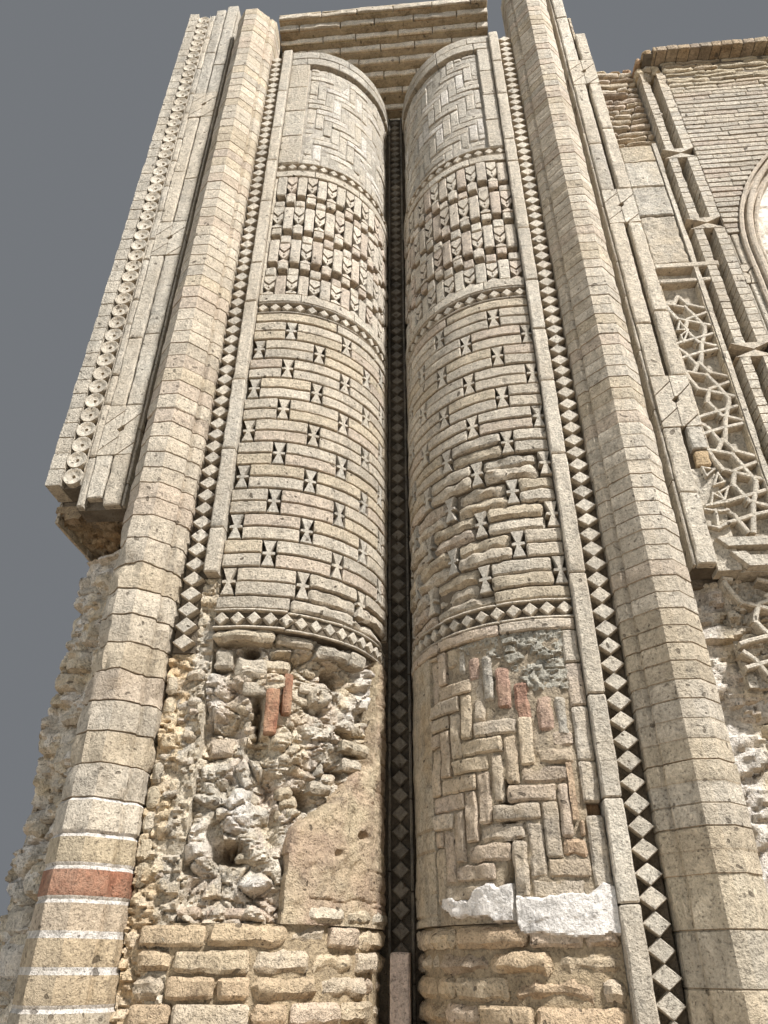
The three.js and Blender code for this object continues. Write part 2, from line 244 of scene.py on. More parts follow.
# %% [markdown]
# The materials differ in how stained, pitted and coarse they are, and in how deep their bump
# is, in metres. The soil colour is what gathers in the stains: ochre dust on the bricks, grey
# on the mortar.


# %% One material for each finish
def masonry_finish(name, soil, staining, pitting, coarseness, depth):
    """A stone material: the tint attribute goes through the aged_masonry group, and the
    group's height becomes a bump of the given depth."""
    material = bpy.data.materials.new(name)
    material.use_nodes = True
    tree = material.node_tree
    shader = tree.nodes["Principled BSDF"].inputs
    tint = linked(tree, "ShaderNodeAttribute", attribute_name="tint").outputs["Color"]
    old = linked(tree, "ShaderNodeGroup", node_tree=aged)
    tree.links.new(tint, old.inputs["Tint"])
    old.inputs["Soil"].default_value = (*soil, 1.0)
    old.inputs["Staining"].default_value = staining
    old.inputs["Pitting"].default_value = pitting
    old.inputs["Coarseness"].default_value = coarseness
    height = {"Strength": 1.0, "Distance": depth, "Height": old.outputs["Height"]}
    tree.links.new(old.outputs["Colour"], shader["Base Color"])
    tree.links.new(old.outputs["Roughness"], shader["Roughness"])
    tree.links.new(linked(tree, "ShaderNodeBump", height).outputs[0], shader["Normal"])
    shader["Specular IOR Level"].default_value = 0.25
    material.diffuse_color = (0.55, 0.48, 0.39, 1.0)
    return material


FINISH = {
    "cut_brick": masonry_finish("cut_brick", (0.4, 0.33, 0.235), 0.35, 1.0, 1.0, 0.0046),
    "moulding": masonry_finish("moulding", (0.4, 0.33, 0.24), 0.45, 0.8, 0.9, 0.0038),
    "worn_block": masonry_finish("worn_block", (0.56, 0.44, 0.28), 0.5, 0.9, 0.85, 0.0052),
    "mortar": masonry_finish("mortar", (0.2, 0.165, 0.12), 0.6, 0.6, 0.8, 0.0045),
    "rubble": masonry_finish("rubble", (0.54, 0.45, 0.33), 0.45, 0.8, 0.8, 0.0062),
    "stucco": masonry_finish("stucco", (0.36, 0.3, 0.22), 0.35, 1.0, 1.1, 0.003),
    "plaster": masonry_finish("plaster", (0.6, 0.55, 0.49), 0.4, 0.4, 0.7, 0.0026),
}
print("finishes", ", ".join(FINISH))


# %% Colours of bricks, stones and plaster
def paint(red, green, blue):
    """A screen colour from 0 to 1 as the linear values that a tint holds."""
    c = np.array([red, green, blue], float)
    return np.where(c <= 0.04045, c / 12.92, ((c + 0.055) / 1.055) ** 2.4)


CREAM = paint(0.8, 0.76, 0.69)
PALE = paint(0.83, 0.8, 0.74)
GREY = paint(0.74, 0.715, 0.665)
ROSE = paint(0.77, 0.7, 0.635)
SAND = paint(0.79, 0.73, 0.62)
OCHRE = paint(0.73, 0.61, 0.45)
RED = paint(0.63, 0.44, 0.35)
DUST = paint(0.54, 0.49, 0.42)
WHITE = paint(0.9, 0.88, 0.85)
OLIVE = paint(0.72, 0.69, 0.55)
print("cream is", CREAM.round(3))

# %% [markdown]
# ## Noise that knows where it is
# Wear, grain and broken faces need numbers that look random but stay the same in every run.
# Hashing the whole-number corners of a grid gives that, and blending between the corners
# gives a soft noise. Measuring the distance to one random point in each grid cell gives the
# lumps of rubble.


# %% Noise and lumps from hashed grid corners
def scatter(i, j, k, seed):
    """A number from 0 to 1 for each triple of whole numbers, by mixing their bits."""
    h = (i * 73856093) ^ (j * 19349663) ^ (k * 83492791) ^ (seed * 50331653 + 12345)
    h = (h & 0xFFFFFFFF).astype(np.uint64)
    h = ((h ^ (h >> np.uint64(15))) * np.uint64(2246822519)) & np.uint64(0xFFFFFFFF)
    h = ((h ^ (h >> np.uint64(13))) * np.uint64(3266489917)) & np.uint64(0xFFFFFFFF)
    return (h ^ (h >> np.uint64(16))).astype(float) / 4294967295.0


def drawn(number, j, k, seed):
    """One number from 0 to 1 for each whole number, another one for each j and k."""
    return scatter(number, 0 * number + j, 0 * number + k, seed)


def noise(p, size, seed):
    """Soft noise from -1 to 1 at points p: the eight hashed corners of the cell of the given
    size, blended by the smooth weight 3t^2 - 2t^3."""
    q = p / size
    low = np.floor(q).astype(np.int64)
    t = q - low
    t = t * t * (3 - 2 * t)
    total = np.zeros(p.shape[:-1])
    for step in np.ndindex(2, 2, 2):
        weight = 1.0
        for axis in range(3):
            weight = weight * (t[..., axis] if step[axis] else 1 - t[..., axis])
        total += weight * scatter(*(low[..., axis] + step[axis] for axis in range(3)), seed)
    return total * 2 - 1


def ragged(p, size, seed):
    """Noise at three sizes, each half as large and half as strong as the one before."""
    return noise(p, size, seed) + 0.5 * noise(p, size / 2, seed + 1) + 0.25 * noise(p, size / 4, seed + 2)


def lumps(p, size, seed):
    """For points p, the distance to the nearest and second nearest of the random points that
    sit one in each cell of the given size, in cells, and the nearest one's own number 0..1."""
    q = p / size
    low = np.floor(q).astype(np.int64)
    first = np.full(p.shape[:-1], 9.0)
    second = np.full(p.shape[:-1], 9.0)
    number = np.zeros(p.shape[:-1])
    for step in np.ndindex(3, 3, 3):
        i, j, k = (low[..., axis] + step[axis] - 1 for axis in range(3))
        point = np.stack([v + scatter(i, j, k, seed + n) for n, v in enumerate((i, j, k))], -1)
        distance = np.sqrt(((point - q) ** 2).sum(-1))
        nearer = distance < first
        second = np.where(nearer, first, np.minimum(second, distance))
        number = np.where(nearer, scatter(i, j, k, seed + 3), number)
        first = np.where(nearer, distance, first)
    return first, second, number


def round_off(share):
    """How far an edge has fallen away, from 1 at its rim (share 0) along a quarter circle to 0."""
    return 1 - np.sqrt(1 - (1 - share) ** 2)


def shades(count, colours, seed, spread=0.055):
    """A tint for each of count bricks: one of the colours, drawn in toward their mean, and a
    little lighter or darker."""
    pick = np.random.default_rng(seed)
    chosen = np.array(colours)[pick.integers(0, len(colours), count)]
    chosen = chosen.mean(0) + 0.45 * (chosen - chosen.mean(0))
    return chosen * (1 + spread * pick.normal(size=(count, 1))).clip(0.7, 1.25)


print("noise at two points", noise(np.array([[0.1, 0.2, 0.3], [1.0, 2.0, 3.0]]), 0.2, 1).round(3))

# %% [markdown]
# ## Collecting a piece
# A pile gathers bricks as whole arrays: many blocks of the same make have the same face
# list, so it is written once and shifted for each block. When the pile is full, it becomes
# one mesh with a tint for each face corner.


# %% The pile and the mesh made from it
# Shares by which faces that look down are darkened: painted shade on undersides, with some dust.
SHADE_AND_DUST_BELOW = np.array([0.3, 0.39, 0.49])
ROOM = 0.0002


class Pile:
    """Points, faces, tints and finishes of one piece, kept as arrays until it is made, with
    the face that it lies on (place) and the seed of its wear."""

    def __init__(self, place=None, seed=1):
        self.place, self.seed = place, seed
        self.points, self.faces, self.count = [], [], 0

    def add(self, points, faces, tint, finish):
        """Adds a set of blocks. points is blocks x corners x 3, faces a list of whole-number
        arrays that hold for each block, tint one colour, one for each block, or one for each
        face. The first block's volume, summed from its faces, says which way they turn."""
        blocks, corners = points.shape[:2]
        first = points[0] - points[0].mean(0)
        volume = 0.0
        for group in faces:
            for k in range(1, group.shape[1] - 1):
                volume += (first[group[:, 0]] * np.cross(first[group[:, k]], first[group[:, k + 1]])).sum()
        step = self.count + corners * np.arange(blocks)[:, None, None]
        tint = np.asarray(tint, float)
        used = 0
        for group in faces:
            if volume < 0:
                group = group[:, ::-1]
            if tint.ndim == 3:
                colour = tint[:, used:used + len(group)].reshape(-1, 3)
            else:
                colour = np.repeat(np.broadcast_to(tint, (blocks, 3)), len(group), 0)
            used += len(group)
            self.faces.append(((group[None] + step).reshape(-1, group.shape[1]), colour, finish))
        self.points.append(points.reshape(-1, 3))
        self.count += blocks * corners

    def make(self, name, node, sharp=38.0):
        """The piece as a mesh object that rides on the root body and stands for the node, held
        within the box of all solids. What looks down is darker and browner by fixed shares:
        painted shade on undersides, together with dust that no rain washes off."""
        faces, tints, finishes = zip(*self.faces)
        points = np.concatenate(self.points).clip(np.array(cad_low) + ROOM, np.array(cad_high) - ROOM)
        sizes = np.concatenate([np.full(len(f), f.shape[1]) for f in faces])
        corners = np.concatenate([f.ravel() for f in faces]).astype(np.int32)
        kinds = sorted(set(finishes))
        own_kind = np.concatenate([np.full(len(f), kinds.index(kind)) for f, kind in zip(faces, finishes)])
        mesh = bpy.data.meshes.new(name)
        mesh.vertices.add(len(points))
        mesh.vertices.foreach_set("co", points.astype(np.float32).ravel())
        mesh.loops.add(len(corners))
        mesh.loops.foreach_set("vertex_index", corners)
        mesh.polygons.add(len(sizes))
        mesh.polygons.foreach_set("loop_start", np.r_[0, np.cumsum(sizes)[:-1]].astype(np.int32))
        mesh.polygons.foreach_set("material_index", own_kind.astype(np.int32))
        for kind in kinds:
            mesh.materials.append(FINISH[kind])
        mesh.update(calc_edges=True)
        facing = np.empty(3 * len(sizes), np.float32)
        mesh.polygons.foreach_get("normal", facing)
        # Faces that look down are darkened and browned: painted shade, with some dust.
        down = np.clip(-1.6 * facing[2::3] - 0.35, 0, 1)
        colours = np.concatenate([np.repeat(c, f.shape[1], 0) for f, c in zip(faces, tints)])
        colours = colours * (1 - np.repeat(down, sizes)[:, None] * SHADE_AND_DUST_BELOW)
        tint = mesh.color_attributes.new("tint", "FLOAT_COLOR", "CORNER")
        tint.data.foreach_set("color", np.c_[colours, np.ones(len(colours))].astype(np.float32).ravel())
        mesh.polygons.foreach_set("use_smooth", np.ones(len(sizes), bool))
        mesh.set_sharp_from_angle(angle=math.radians(sharp))
        piece = in_scene(name, mesh)
        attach(piece, "root")
        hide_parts(node)
        print(name, "has", int((sizes - 2).sum()), "triangles")


print("a piece keeps", ROOM, "m inside the box of the solids")

# %% [markdown]
# ## Bending a flat pattern onto a face
# Each face is a small function: it takes the distance along the face, the height and the
# depth in front of it, and gives the point in space. The round shafts are quarter circles
# that start in the deep groove and end in a flat border beside the facade.

# %% Places on the shafts, the facade and other flat faces
FACADE_Y = -0.714
BACK_Y = 0.236
LEFT_END, RIGHT_END = -1.325, 2.11
SHAFT_RADIUS = 0.478
SHAFT_CENTRE = 0.52
ARC = SHAFT_RADIUS * math.pi / 2
PANEL_WIDE = ARC + 0.067
SHAFT_TOP = 6.3
SIDE_NAME = {-1: "left", 1: "right"}


def on_shaft(side):
    """The quarter shaft: the angle is the distance along divided by the radius, up to a right
    angle, and the rest of the distance runs on flat. Depth makes the radius larger."""
    def place(s, z, d):
        turn = np.clip(s / SHAFT_RADIUS, 0, math.pi / 2)
        x = SHAFT_CENTRE - (SHAFT_RADIUS + d) * np.cos(turn) + np.maximum(s - ARC, 0)
        y = FACADE_Y + SHAFT_RADIUS - (SHAFT_RADIUS + d) * np.sin(turn)
        return np.stack(np.broadcast_arrays(side * x, y, z + 0 * x), -1)
    return place


def on_plane(origin, along, out, rise=(0, 0, 1)):
    """A flat face: origin + s times along + z times rise + d times out."""
    o, a, u, r = (np.array(v, float) for v in (origin, along, out, rise))

    def place(s, z, d):
        s, z, d = np.broadcast_arrays(s, z, d)
        return o + s[..., None] * a + z[..., None] * r + d[..., None] * u
    return place


def on_facade(side=1, depth=0.0):
    """The facade, or a plane that lies deeper than it, with distance measured from the groove."""
    return on_plane((0, FACADE_Y + depth, 0), (side, 0, 0), (0, -1, 0))


def upward(z):
    """A flat top at this height, with Y for its height."""
    return on_plane((0, 0, z), (1, 0, 0), (0, 0, 1), (0, 1, 0))


def standing(y, out):
    """An upright face across the pier that looks to the back (out 1) or to the front (-1)."""
    return on_plane((0, y, 0), (1, 0, 0), (0, out, 0))


def ending(x, out):
    """An upright face along Y that looks to the right (out 1) or to the left (-1)."""
    return on_plane((x, 0, 0), (0, 1, 0), (out, 0, 0))


print("shaft panel is", round(PANEL_WIDE, 3), "m wide when unrolled")

# %% [markdown]
# ## Blocks
# A block is a grid that bulges a little: its rim is pulled back so that the edge catches the
# light, and noise wears it. Behind the rim it has straight sides and a back, so it is closed.


# %% Faces of closed shapes
def grid_faces(at):
    """Quads between the neighbours of a grid of point numbers."""
    return np.stack([at[:-1, :-1], at[:-1, 1:], at[1:, 1:], at[1:, :-1]], -1).reshape(-1, 4)


def skin_faces(rows, m):
    """Faces of a tube of rows outlines with m corners each: the skin between them, the strip
    that joins the last corner to the first, and the two end caps."""
    at = np.arange(rows * m).reshape(rows, m)
    return [np.concatenate([grid_faces(at), grid_faces(at[:, [-1, 0]])]), np.array([at[0, ::-1], at[-1]])]


def ring_faces(rows, m):
    """The same tube with the faces of one ring after the other."""
    at = np.arange(rows * m).reshape(rows, m)
    return [grid_faces(np.c_[at, at[:, 0]]), np.array([at[0, ::-1], at[-1]])]


def block_faces(na, nb):
    """Faces of a closed block whose front is a grid of nb rows of na points, followed by the
    bottom and the top row of its back."""
    at = np.arange(na * nb).reshape(nb, na)
    low, high = na * nb + np.arange(na), na * nb + na + np.arange(na)
    under, over = grid_faces(np.stack([low, at[0]])), grid_faces(np.stack([at[-1], high]))
    rear = grid_faces(np.stack([low, high]))[:, [1, 0, 3, 2]]
    ends = np.array([[*at[:, 0], high[0], low[0]], [*at[::-1, -1], low[-1], high[-1]]])
    return [np.concatenate([grid_faces(at), under, over, rear]), ends]


print("a block of 6 by 4 points has", sum(len(f) for f in block_faces(6, 4)), "faces")


# %% Lay many bricks at once
def lay(pile, s0, s1, z0, z1, top=0.0, foot=-0.03, tint=CREAM, finish="cut_brick",
        across=3, up=1, soft=0.004, wear=0.0, rough=0.001, seed=None):
    """Blocks from s0 to s1 and z0 to z1, all numbers or arrays with one value for each block.
    Near the edge the front falls away along a quarter circle of radius soft + wear, and noise
    of strength rough + wear moves it in and out. Corners are drawn in by a third of the
    radius, and each block is tilted by up to 1.6 mm."""
    place, seed = pile.place, pile.seed if seed is None else seed
    given = np.broadcast_arrays(*(np.atleast_1d(v) for v in (s0, s1, z0, z1, top, foot, wear)))
    s0, s1, z0, z1, top, foot, wear = (v[:, None, None].astype(float) for v in given)
    wide, high = s1 - s0, z1 - z0
    radius = np.minimum(soft + wear, 0.4 * np.minimum(wide, high))
    a = (wide - 2 * radius) * np.linspace(0, 1, across + 1)[None, None, :]
    b = (high - 2 * radius) * np.linspace(0, 1, up + 1)[None, :, None]
    a = np.concatenate([0 * wide, radius + a, wide], 2)
    b = np.concatenate([0 * high, radius + b, high], 1)
    s, z = np.broadcast_arrays(s0 + a, z0 + b)
    rim_a, rim_b = np.minimum(a, wide - a), np.minimum(b, high - b)
    near = (np.minimum(rim_a, rim_b) / radius).clip(0, 1)
    fall = 0.85 * radius * round_off(near)
    flat = place(s, z, 0 * s + top)
    number = np.arange(len(s0))[:, None, None]
    nods = (drawn(number, 0, 7, seed) - 0.5) * (b / high - 0.5)
    leans = (drawn(number, 1, 0, seed) - 0.5) * (a / wide - 0.5)
    worn = rough * ragged(flat, 0.06, seed)
    eaten = wear * (0.9 * ragged(flat, 0.045, seed + 5) - 0.25)
    d = top - fall + 0.0032 * (nods + leans) + worn + eaten
    chip = 0.0011 + 0.5 * wear
    corner = 0.35 * radius * (1 - (rim_a / radius).clip(0, 1)) * (1 - (rim_b / radius).clip(0, 1))
    s_worn = s + chip * noise(flat, 0.022, seed + 9) + corner * np.sign(0.5 - a / wide)
    z_worn = z + chip * noise(flat, 0.026, seed + 11) + corner * np.sign(0.5 - b / high)
    front = place(s_worn, z_worn, d)
    blocks, rows, columns = front.shape[:3]
    back = [place(s[:, k], z[:, k], foot[:, 0] + 0 * s[:, 0]) for k in (0, -1)]
    points = np.concatenate([front.reshape(blocks, -1, 3), *back], 1)
    pile.add(points, block_faces(columns, rows), tint, finish)


# %% Lay one fine sheet, or cut flat ornaments
def sheet(pile, s0, s1, z0, z1, step, shape, foot, colour, finish):
    """One closed slab whose front is a fine grid. shape gives the depth of the front at each
    point, and colour the tint of each face, both from s, z and the point in space."""
    place = pile.place
    ranges = ((s0, s1), (z0, z1))
    s, z = np.meshgrid(*(np.linspace(v0, v1, max(2, round((v1 - v0) / step)) + 1) for v0, v1 in ranges))
    flat = place(s, z, 0 * s)
    front = place(s, z, shape(s, z, flat))
    faces = block_faces(s.shape[1], s.shape[0])
    back = [place(s[k], z[k], foot + 0 * s[k])[None] for k in (0, -1)]
    if callable(colour):
        middle = ((v[:-1, :-1] + v[1:, 1:]) / 2 for v in (s, z))
        inner = colour(*middle, flat[:-1, :-1]).reshape(-1, 3)
        rest = sum(len(f) for f in faces) - len(inner)
        colour = np.concatenate([inner, np.repeat(inner.mean(0)[None], rest, 0)])[None]
    pile.add(np.concatenate([front.reshape(1, -1, 3), *back], 1), faces, colour, finish)


def bed(pile, s0, s1, z0, z1, depth, foot=-0.12, step=0.06, tint=DUST):
    """The mortar body of a panel: a rough slab set back behind the bricks."""
    def rough_mortar(s, z, p):
        return -depth + 0.004 * ragged(p, 0.05, 3)
    sheet(pile, s0, s1, z0, z1, step, rough_mortar, foot, 0.75 * np.asarray(tint), "mortar")


def cut(pile, s, z, outline, top, foot, tint=CREAM, finish="stucco", bevel=0.0):
    """Flat ornaments: the outline (points across, up) is set at each s, z and pushed from
    foot to top. With a bevel the last part narrows towards the outline's middle."""
    s, z = np.broadcast_arrays(*(np.atleast_1d(np.asarray(v, float))[:, None] for v in (s, z)))
    outline = np.asarray(outline, float)
    outline = np.broadcast_to(outline, (len(s), *outline.shape[-2:]))
    top = np.atleast_1d(np.asarray(top, float))[:, None] + 0 * s
    centre = outline.mean(1, keepdims=True)
    rings = [(1.0, foot + 0 * top), (1.0, top - bevel)]
    if bevel:
        reach = np.abs(outline - centre).max(axis=(1, 2))[:, None, None]
        rings.append((1 - bevel / reach, top))
    layers = []
    for share, d in rings:
        shaped = centre + (outline - centre) * share
        layers.append(pile.place(s + shaped[..., 0], z + shaped[..., 1], d + 0 * shaped[..., 0]))
    pile.add(np.concatenate(layers, 1), ring_faces(len(rings), outline.shape[1]), tint, finish)


# %% Rows and courses
def rows_of(s0, s1, length, joint, shift, pick, vary=0.12):
    """Start and end of each brick of one course, from s0 to s1: pieces about one length long,
    started with a part of one (shift, as a share), with a joint between them."""
    count = int((s1 - s0) / length) + 3
    cuts = s0 - length * (1 - shift) + length * (np.arange(count) + vary * (pick.random(count) - 0.5))
    cuts = cuts[(cuts > s0 + 0.25 * length) & (cuts < s1 - 0.25 * length)]
    edges = np.concatenate([[s0], cuts, [s1]])
    return edges[:-1] + joint / 2, edges[1:] - joint / 2


def row(pile, span, width, bond, pick, colours, finish, level=-0.001, uneven=0.0, foot=-0.06,
        vary=0.4, upright=False, tone=1.0, spread=0.055, shade=None, **look):
    """One row of bricks that runs from end to end of span and fills the width, lying or, when
    upright, going up. bond is the brick's length, the joint and the shift of the first joint;
    the top lies at the level, less up to uneven, and tone scales the tints."""
    start, end = rows_of(*span, *bond, pick, vary)
    top = level - uneven * pick.random(len(start)) if uneven else level
    tints = tone * shades(len(start), colours, pile.seed if shade is None else shade, spread)
    at = (*width, start, end) if upright else (start, end, *width)
    lay(pile, *at, top, foot, tints, finish, **look)


def coursed(s0, s1, z0, z1, high, length, joint, seed, vary=0.12, bond=0.5):
    """Courses of bricks between two heights: arrays of s0, s1, z0 and z1. Every second course
    is shifted by the bond."""
    pick = np.random.default_rng(seed)
    count = max(1, round((z1 - z0) / high))
    edges = np.linspace(z0, z1, count + 1)
    found = []
    for k in range(count):
        start, end = rows_of(s0, s1, length, joint, (k % 2) * bond + 0.15 * pick.random(), pick, vary)
        low, high_edge = edges[k] + joint / 2, edges[k + 1] - joint / 2
        found.append(np.stack([start, end, 0 * start + low, 0 * start + high_edge], 1))
    return np.concatenate(found).T


print("two courses of 1 m hold", coursed(0, 1, 0, 0.12, 0.06, 0.2, 0.01, 1).shape[1], "bricks")

# %% [markdown]
# ## The paired-brick panels
# The middle band of each shaft is laid in pairs of long bricks. Between the pairs stand
# hourglass inserts, cut so that four deep triangles open beside a narrow waist, and every
# second row is shifted by half a step. Behind everything is a bed of mortar, set back, so
# that the joints are real gaps. The right shaft is badly worn near its foot.

# %% Hourglass inserts and paired bricks
ROW_HIGH = 0.1095
PAIR_PITCH = 0.26
HOURGLASS_WIDE = 0.05
FIRST_ROW = 2.66
PLAIN_COURSES = [(0, 0.297, 2.615, 2.657), (0.3, 0.562, 2.615, 2.657), (0.565, PANEL_WIDE, 2.615, 2.657),
                 (0, 0.207, 3.978, 4.024), (0.21, 0.447, 3.978, 4.024), (0.45, PANEL_WIDE, 3.978, 4.024)]


def hourglass(wide, high, waist=0.14, bar=0.045):
    """An outline with twelve corners: two lobes that narrow to a waist, and a thin bar across
    at half height that reaches both sides."""
    right = [(0.5, -0.5), (waist, -bar * 1.5), (0.5, -bar), (0.5, bar), (waist, bar * 1.5), (0.5, 0.5)]
    left = [(-x, -y) for x, y in right]
    return np.array(right + left) * (wide, high)


def worn_low_right(s, z):
    """How many metres of the right shaft's bricks are worn away: strong in a patch in the
    lower half of the panel, weak above."""
    patch = np.exp(-((s - 0.3) / 0.3) ** 2 - ((z - 2.75) / 0.42) ** 2)
    patch = patch + 0.9 * np.exp(-((s - 0.6) / 0.15) ** 2 - ((z - 3.08) / 0.17) ** 2)
    return 0.0012 + 0.0135 * np.minimum(patch, 1.0) * (s < 0.78)


def worn_low_left(s, z):
    """The left shaft is only worn in its lowest courses, toward the groove."""
    return 0.001 + 0.013 * np.exp(-((s - 0.22) / 0.22) ** 4 - ((z - 2.64) / 0.085) ** 2)


def paired_panel(side, wear, shift, seed):
    """Twelve rows of brick pairs between two plain courses."""
    pile = Pile(on_shaft(side), seed)
    bed(pile, 0, PANEL_WIDE, 2.612, 4.027, 0.045)
    half = HOURGLASS_WIDE / 2
    rows = []
    for k in range(12):
        low = FIRST_ROW + ROW_HIGH * k
        stops = (0.785 if k % 2 == 0 else 0.655) + shift - PAIR_PITCH * np.arange(5)[::-1]
        stops = stops[(stops > -0.02) & (stops < PANEL_WIDE)]
        spot = np.repeat(low + ROW_HIGH / 2, len(stops))
        outline = np.repeat(hourglass(HOURGLASS_WIDE - 0.004, ROW_HIGH - 0.008)[None], len(stops), 0)
        outline[..., 0] = np.clip(stops[:, None] + outline[..., 0], 0.0, PANEL_WIDE - 0.002) - stops[:, None]
        level = -0.0045 - 0.7 * wear(stops, spot)
        tints = shades(len(stops), [CREAM, GREY], seed + k)
        cut(pile, stops, spot, outline, level, -0.05, tints, bevel=0.003)
        start, end = np.r_[-half, stops] + half, np.r_[stops, PANEL_WIDE + half] - half
        keep = end - start > 0.012
        rows.append(np.stack([start, end, 0 * start + low, 0 * start + low + ROW_HIGH], 1)[keep])
    pairs = np.concatenate(rows)
    s0, s1, z0, z1 = pairs.T
    level = -0.013 - 1.6 * wear((s0 + s1) / 2, (z0 + z1) / 2)
    lay(pile, s0, s1, z0, z1, level, -0.05, 0.75 * DUST, "mortar", up=0, soft=0.001, seed=seed + 30)
    middle = (z0 + z1) / 2
    lower = np.stack([s0, s1, z0 + 0.0035, middle - 0.0028], 1)
    upper = np.stack([s0, s1, middle + 0.0028, z1 - 0.0035], 1)
    s0, s1, z0, z1 = np.concatenate([lower, upper, PLAIN_COURSES]).T
    amount = wear((s0 + s1) / 2, (z0 + z1) / 2)
    pick = np.random.default_rng(seed)
    top = -0.001 - 0.004 * pick.random(len(s0)) - amount * (0.2 + 1.2 * pick.random(len(s0)))
    tints = shades(len(s0), [CREAM, CREAM, PALE, ROSE, GREY, SAND], seed)
    lay(pile, s0 + 0.002, s1 - 0.002, z0, z1, top, -0.04, tints, across=10, up=3, soft=0.0024, wear=amount)
    pile.make(SIDE_NAME[side] + "_paired_bricks", SIDE_NAME[side] + "_shaft_paired_panel")


paired_panel(-1, worn_low_left, 0.0, 11)
paired_panel(1, worn_low_right, 0.012, 12)

# %% [markdown]
# ## The checker panels
# Above stands a band like woven cloth: narrow upright columns of long bricks, small squares,
# carved inserts and square holes. There are two kinds of column, taken in turn, so the holes
# of neighbours step up and down. From below, the roof of each hole shows as a dark square.

# %% Checker of bricks, squares, inserts and holes
COLUMN_WIDE = 0.0525
COLUMNS_END = 0.8065
FIRST_KIND = [("insert", 4.15, 4.272), ("square", 4.274, 4.326), ("brick", 4.369, 4.531),
              ("square", 4.574, 4.622), ("insert", 4.624, 4.785), ("square", 4.787, 4.833),
              ("brick", 4.876, 5.028)]
SECOND_KIND = [("brick", 4.15, 4.281), ("square", 4.32, 4.367), ("insert", 4.369, 4.508),
               ("square", 4.51, 4.565), ("brick", 4.608, 4.778), ("square", 4.816, 4.868),
               ("insert", 4.87, 5.028)]


def eye_insert(pile, s, z, wide, high, top, tint):
    """A carved insert in three parts with deep gaps between: a block that ends in a point, a
    shield under it, and a low gable. The shield's eye is open, so its outline runs in through a
    slit, round the eye and out again."""
    block = [(-0.5, 0.5), (-0.5, 0.29), (0, 0.08), (0.5, 0.29), (0.5, 0.5)]
    gable = [(-0.5, -0.5), (0.5, -0.5), (0.5, -0.44), (0, -0.34), (-0.5, -0.44)]
    rim = [(0.01, -0.31), (0.5, -0.07), (0.5, 0.17), (0, -0.04), (-0.5, 0.17), (-0.5, -0.07), (-0.01, -0.31)]
    eye = [(-0.01, -0.18), (-0.13, -0.12), (0, -0.07), (0.13, -0.12), (0.01, -0.18)]
    for outline in (block, gable, rim + eye):
        cut(pile, s, z, np.array(outline) * (wide, high), top, -0.05, tint)


def checker_panel(side, shift, seed):
    """Columns of the two kinds in turn, from the outer border to the groove, between a plain
    course below and one above. A column that the border cuts short is narrower."""
    pile = Pile(on_shaft(side), seed)
    bed(pile, 0, PANEL_WIDE, 4.097, 5.08, 0.052, tint=0.55 * DUST)
    pick = np.random.default_rng(seed)
    outer, half = COLUMNS_END + shift, COLUMN_WIDE / 2 - 0.0026
    for kind, parts in enumerate((FIRST_KIND, SECOND_KIND)):
        middle = outer - COLUMN_WIDE * (np.arange(kind, int(outer / COLUMN_WIDE), 2) + 0.5)
        middle = middle[middle < PANEL_WIDE - 0.012]
        right = np.minimum(middle + half, PANEL_WIDE - 0.001)
        for part, low, high in parts:
            lift = 0.004 * pick.normal(size=len(middle))
            tints = shades(len(middle), [CREAM, PALE, PALE, ROSE], int(pick.integers(1000)))
            if part == "insert":
                at_z, tall = (low + high) / 2 + lift, high - low - 0.004
                eye_insert(pile, middle, at_z, 2 * half, tall, -0.0065, tints)
            else:
                top = -0.0015 - 0.006 * pick.random(len(middle))
                lay(pile, middle - half, right, low + lift, high + lift, top, -0.06, tints, across=2,
                    up=5 if part == "brick" else 2, soft=0.0028, wear=0.0022, seed=seed + int(low * 100))
    if shift <= 0:
        edge = np.arange(4.15, 5.0, 0.29)
        high = np.minimum(edge + 0.289, 5.028)
        lay(pile, outer, PANEL_WIDE, edge + 0.001, high, -0.002, -0.06, soft=0.003)
    for width in ((4.099, 4.147), (5.032, 5.078)):
        row(pile, (0, PANEL_WIDE), width, (0.27, 0.003, 0.3 + shift * 9), pick, [CREAM, PALE], "cut_brick",
            vary=0.12, across=5, soft=0.003)
    pile.make(SIDE_NAME[side] + "_checker_bricks", SIDE_NAME[side] + "_shaft_checker_panel")


checker_panel(-1, 0.0, 21)
checker_panel(1, 0.01, 22)

# %% [markdown]
# ## Diamond rings and diamond strips
# Rows of lozenges tie the panels together: three rings run round each shaft, and an upright
# strip runs beside it. Each lozenge is a flat stud with a slanted rim over a sunk ground.

# %% Rings round the shafts
LOZENGE = 0.0552


def lozenge(wide, high):
    """Four corners at the middles of the sides of a rectangle."""
    return np.array([(0, -0.5), (0.5, 0), (0, 0.5), (-0.5, 0)]) * (wide, high)


def diamond_ring(side, low, name, loss, reach, seed):
    """Lozenges between two thin fillets, with the ground 2 cm behind them. Up to the distance
    reach from the groove the ring has lost that much of its depth."""
    pile = Pile(on_shaft(side), seed)
    bed(pile, 0, PANEL_WIDE, low, low + 0.07, 0.024, tint=0.9 * DUST)
    s = 0.02 + LOZENGE * np.arange(15)
    s = s[s < PANEL_WIDE - LOZENGE / 2 + 0.004]
    cut(pile, s, 0 * s + low + 0.035, lozenge(LOZENGE - 0.003, 0.051), -0.002 - loss * (s < reach), -0.03,
        shades(len(s), [CREAM, GREY, CREAM], seed), bevel=0.006)
    pick = np.random.default_rng(seed)
    for foot_z, top_z in ((low + 0.0005, low + 0.0085), (low + 0.0615, low + 0.0695)):
        start, end = rows_of(0, PANEL_WIDE, 0.24, 0.002, 0.4, pick)
        level = -0.001 - loss * ((start + end) / 2 < reach)
        lay(pile, start, end, foot_z, top_z, level, -0.03, shades(len(start), [CREAM, GREY], seed), "stucco",
            across=9, up=0, soft=0.002, wear=0.0012)
    hand = SIDE_NAME[side]
    pile.make(hand + "_" + name + "_lozenges", hand + "_shaft_" + name)


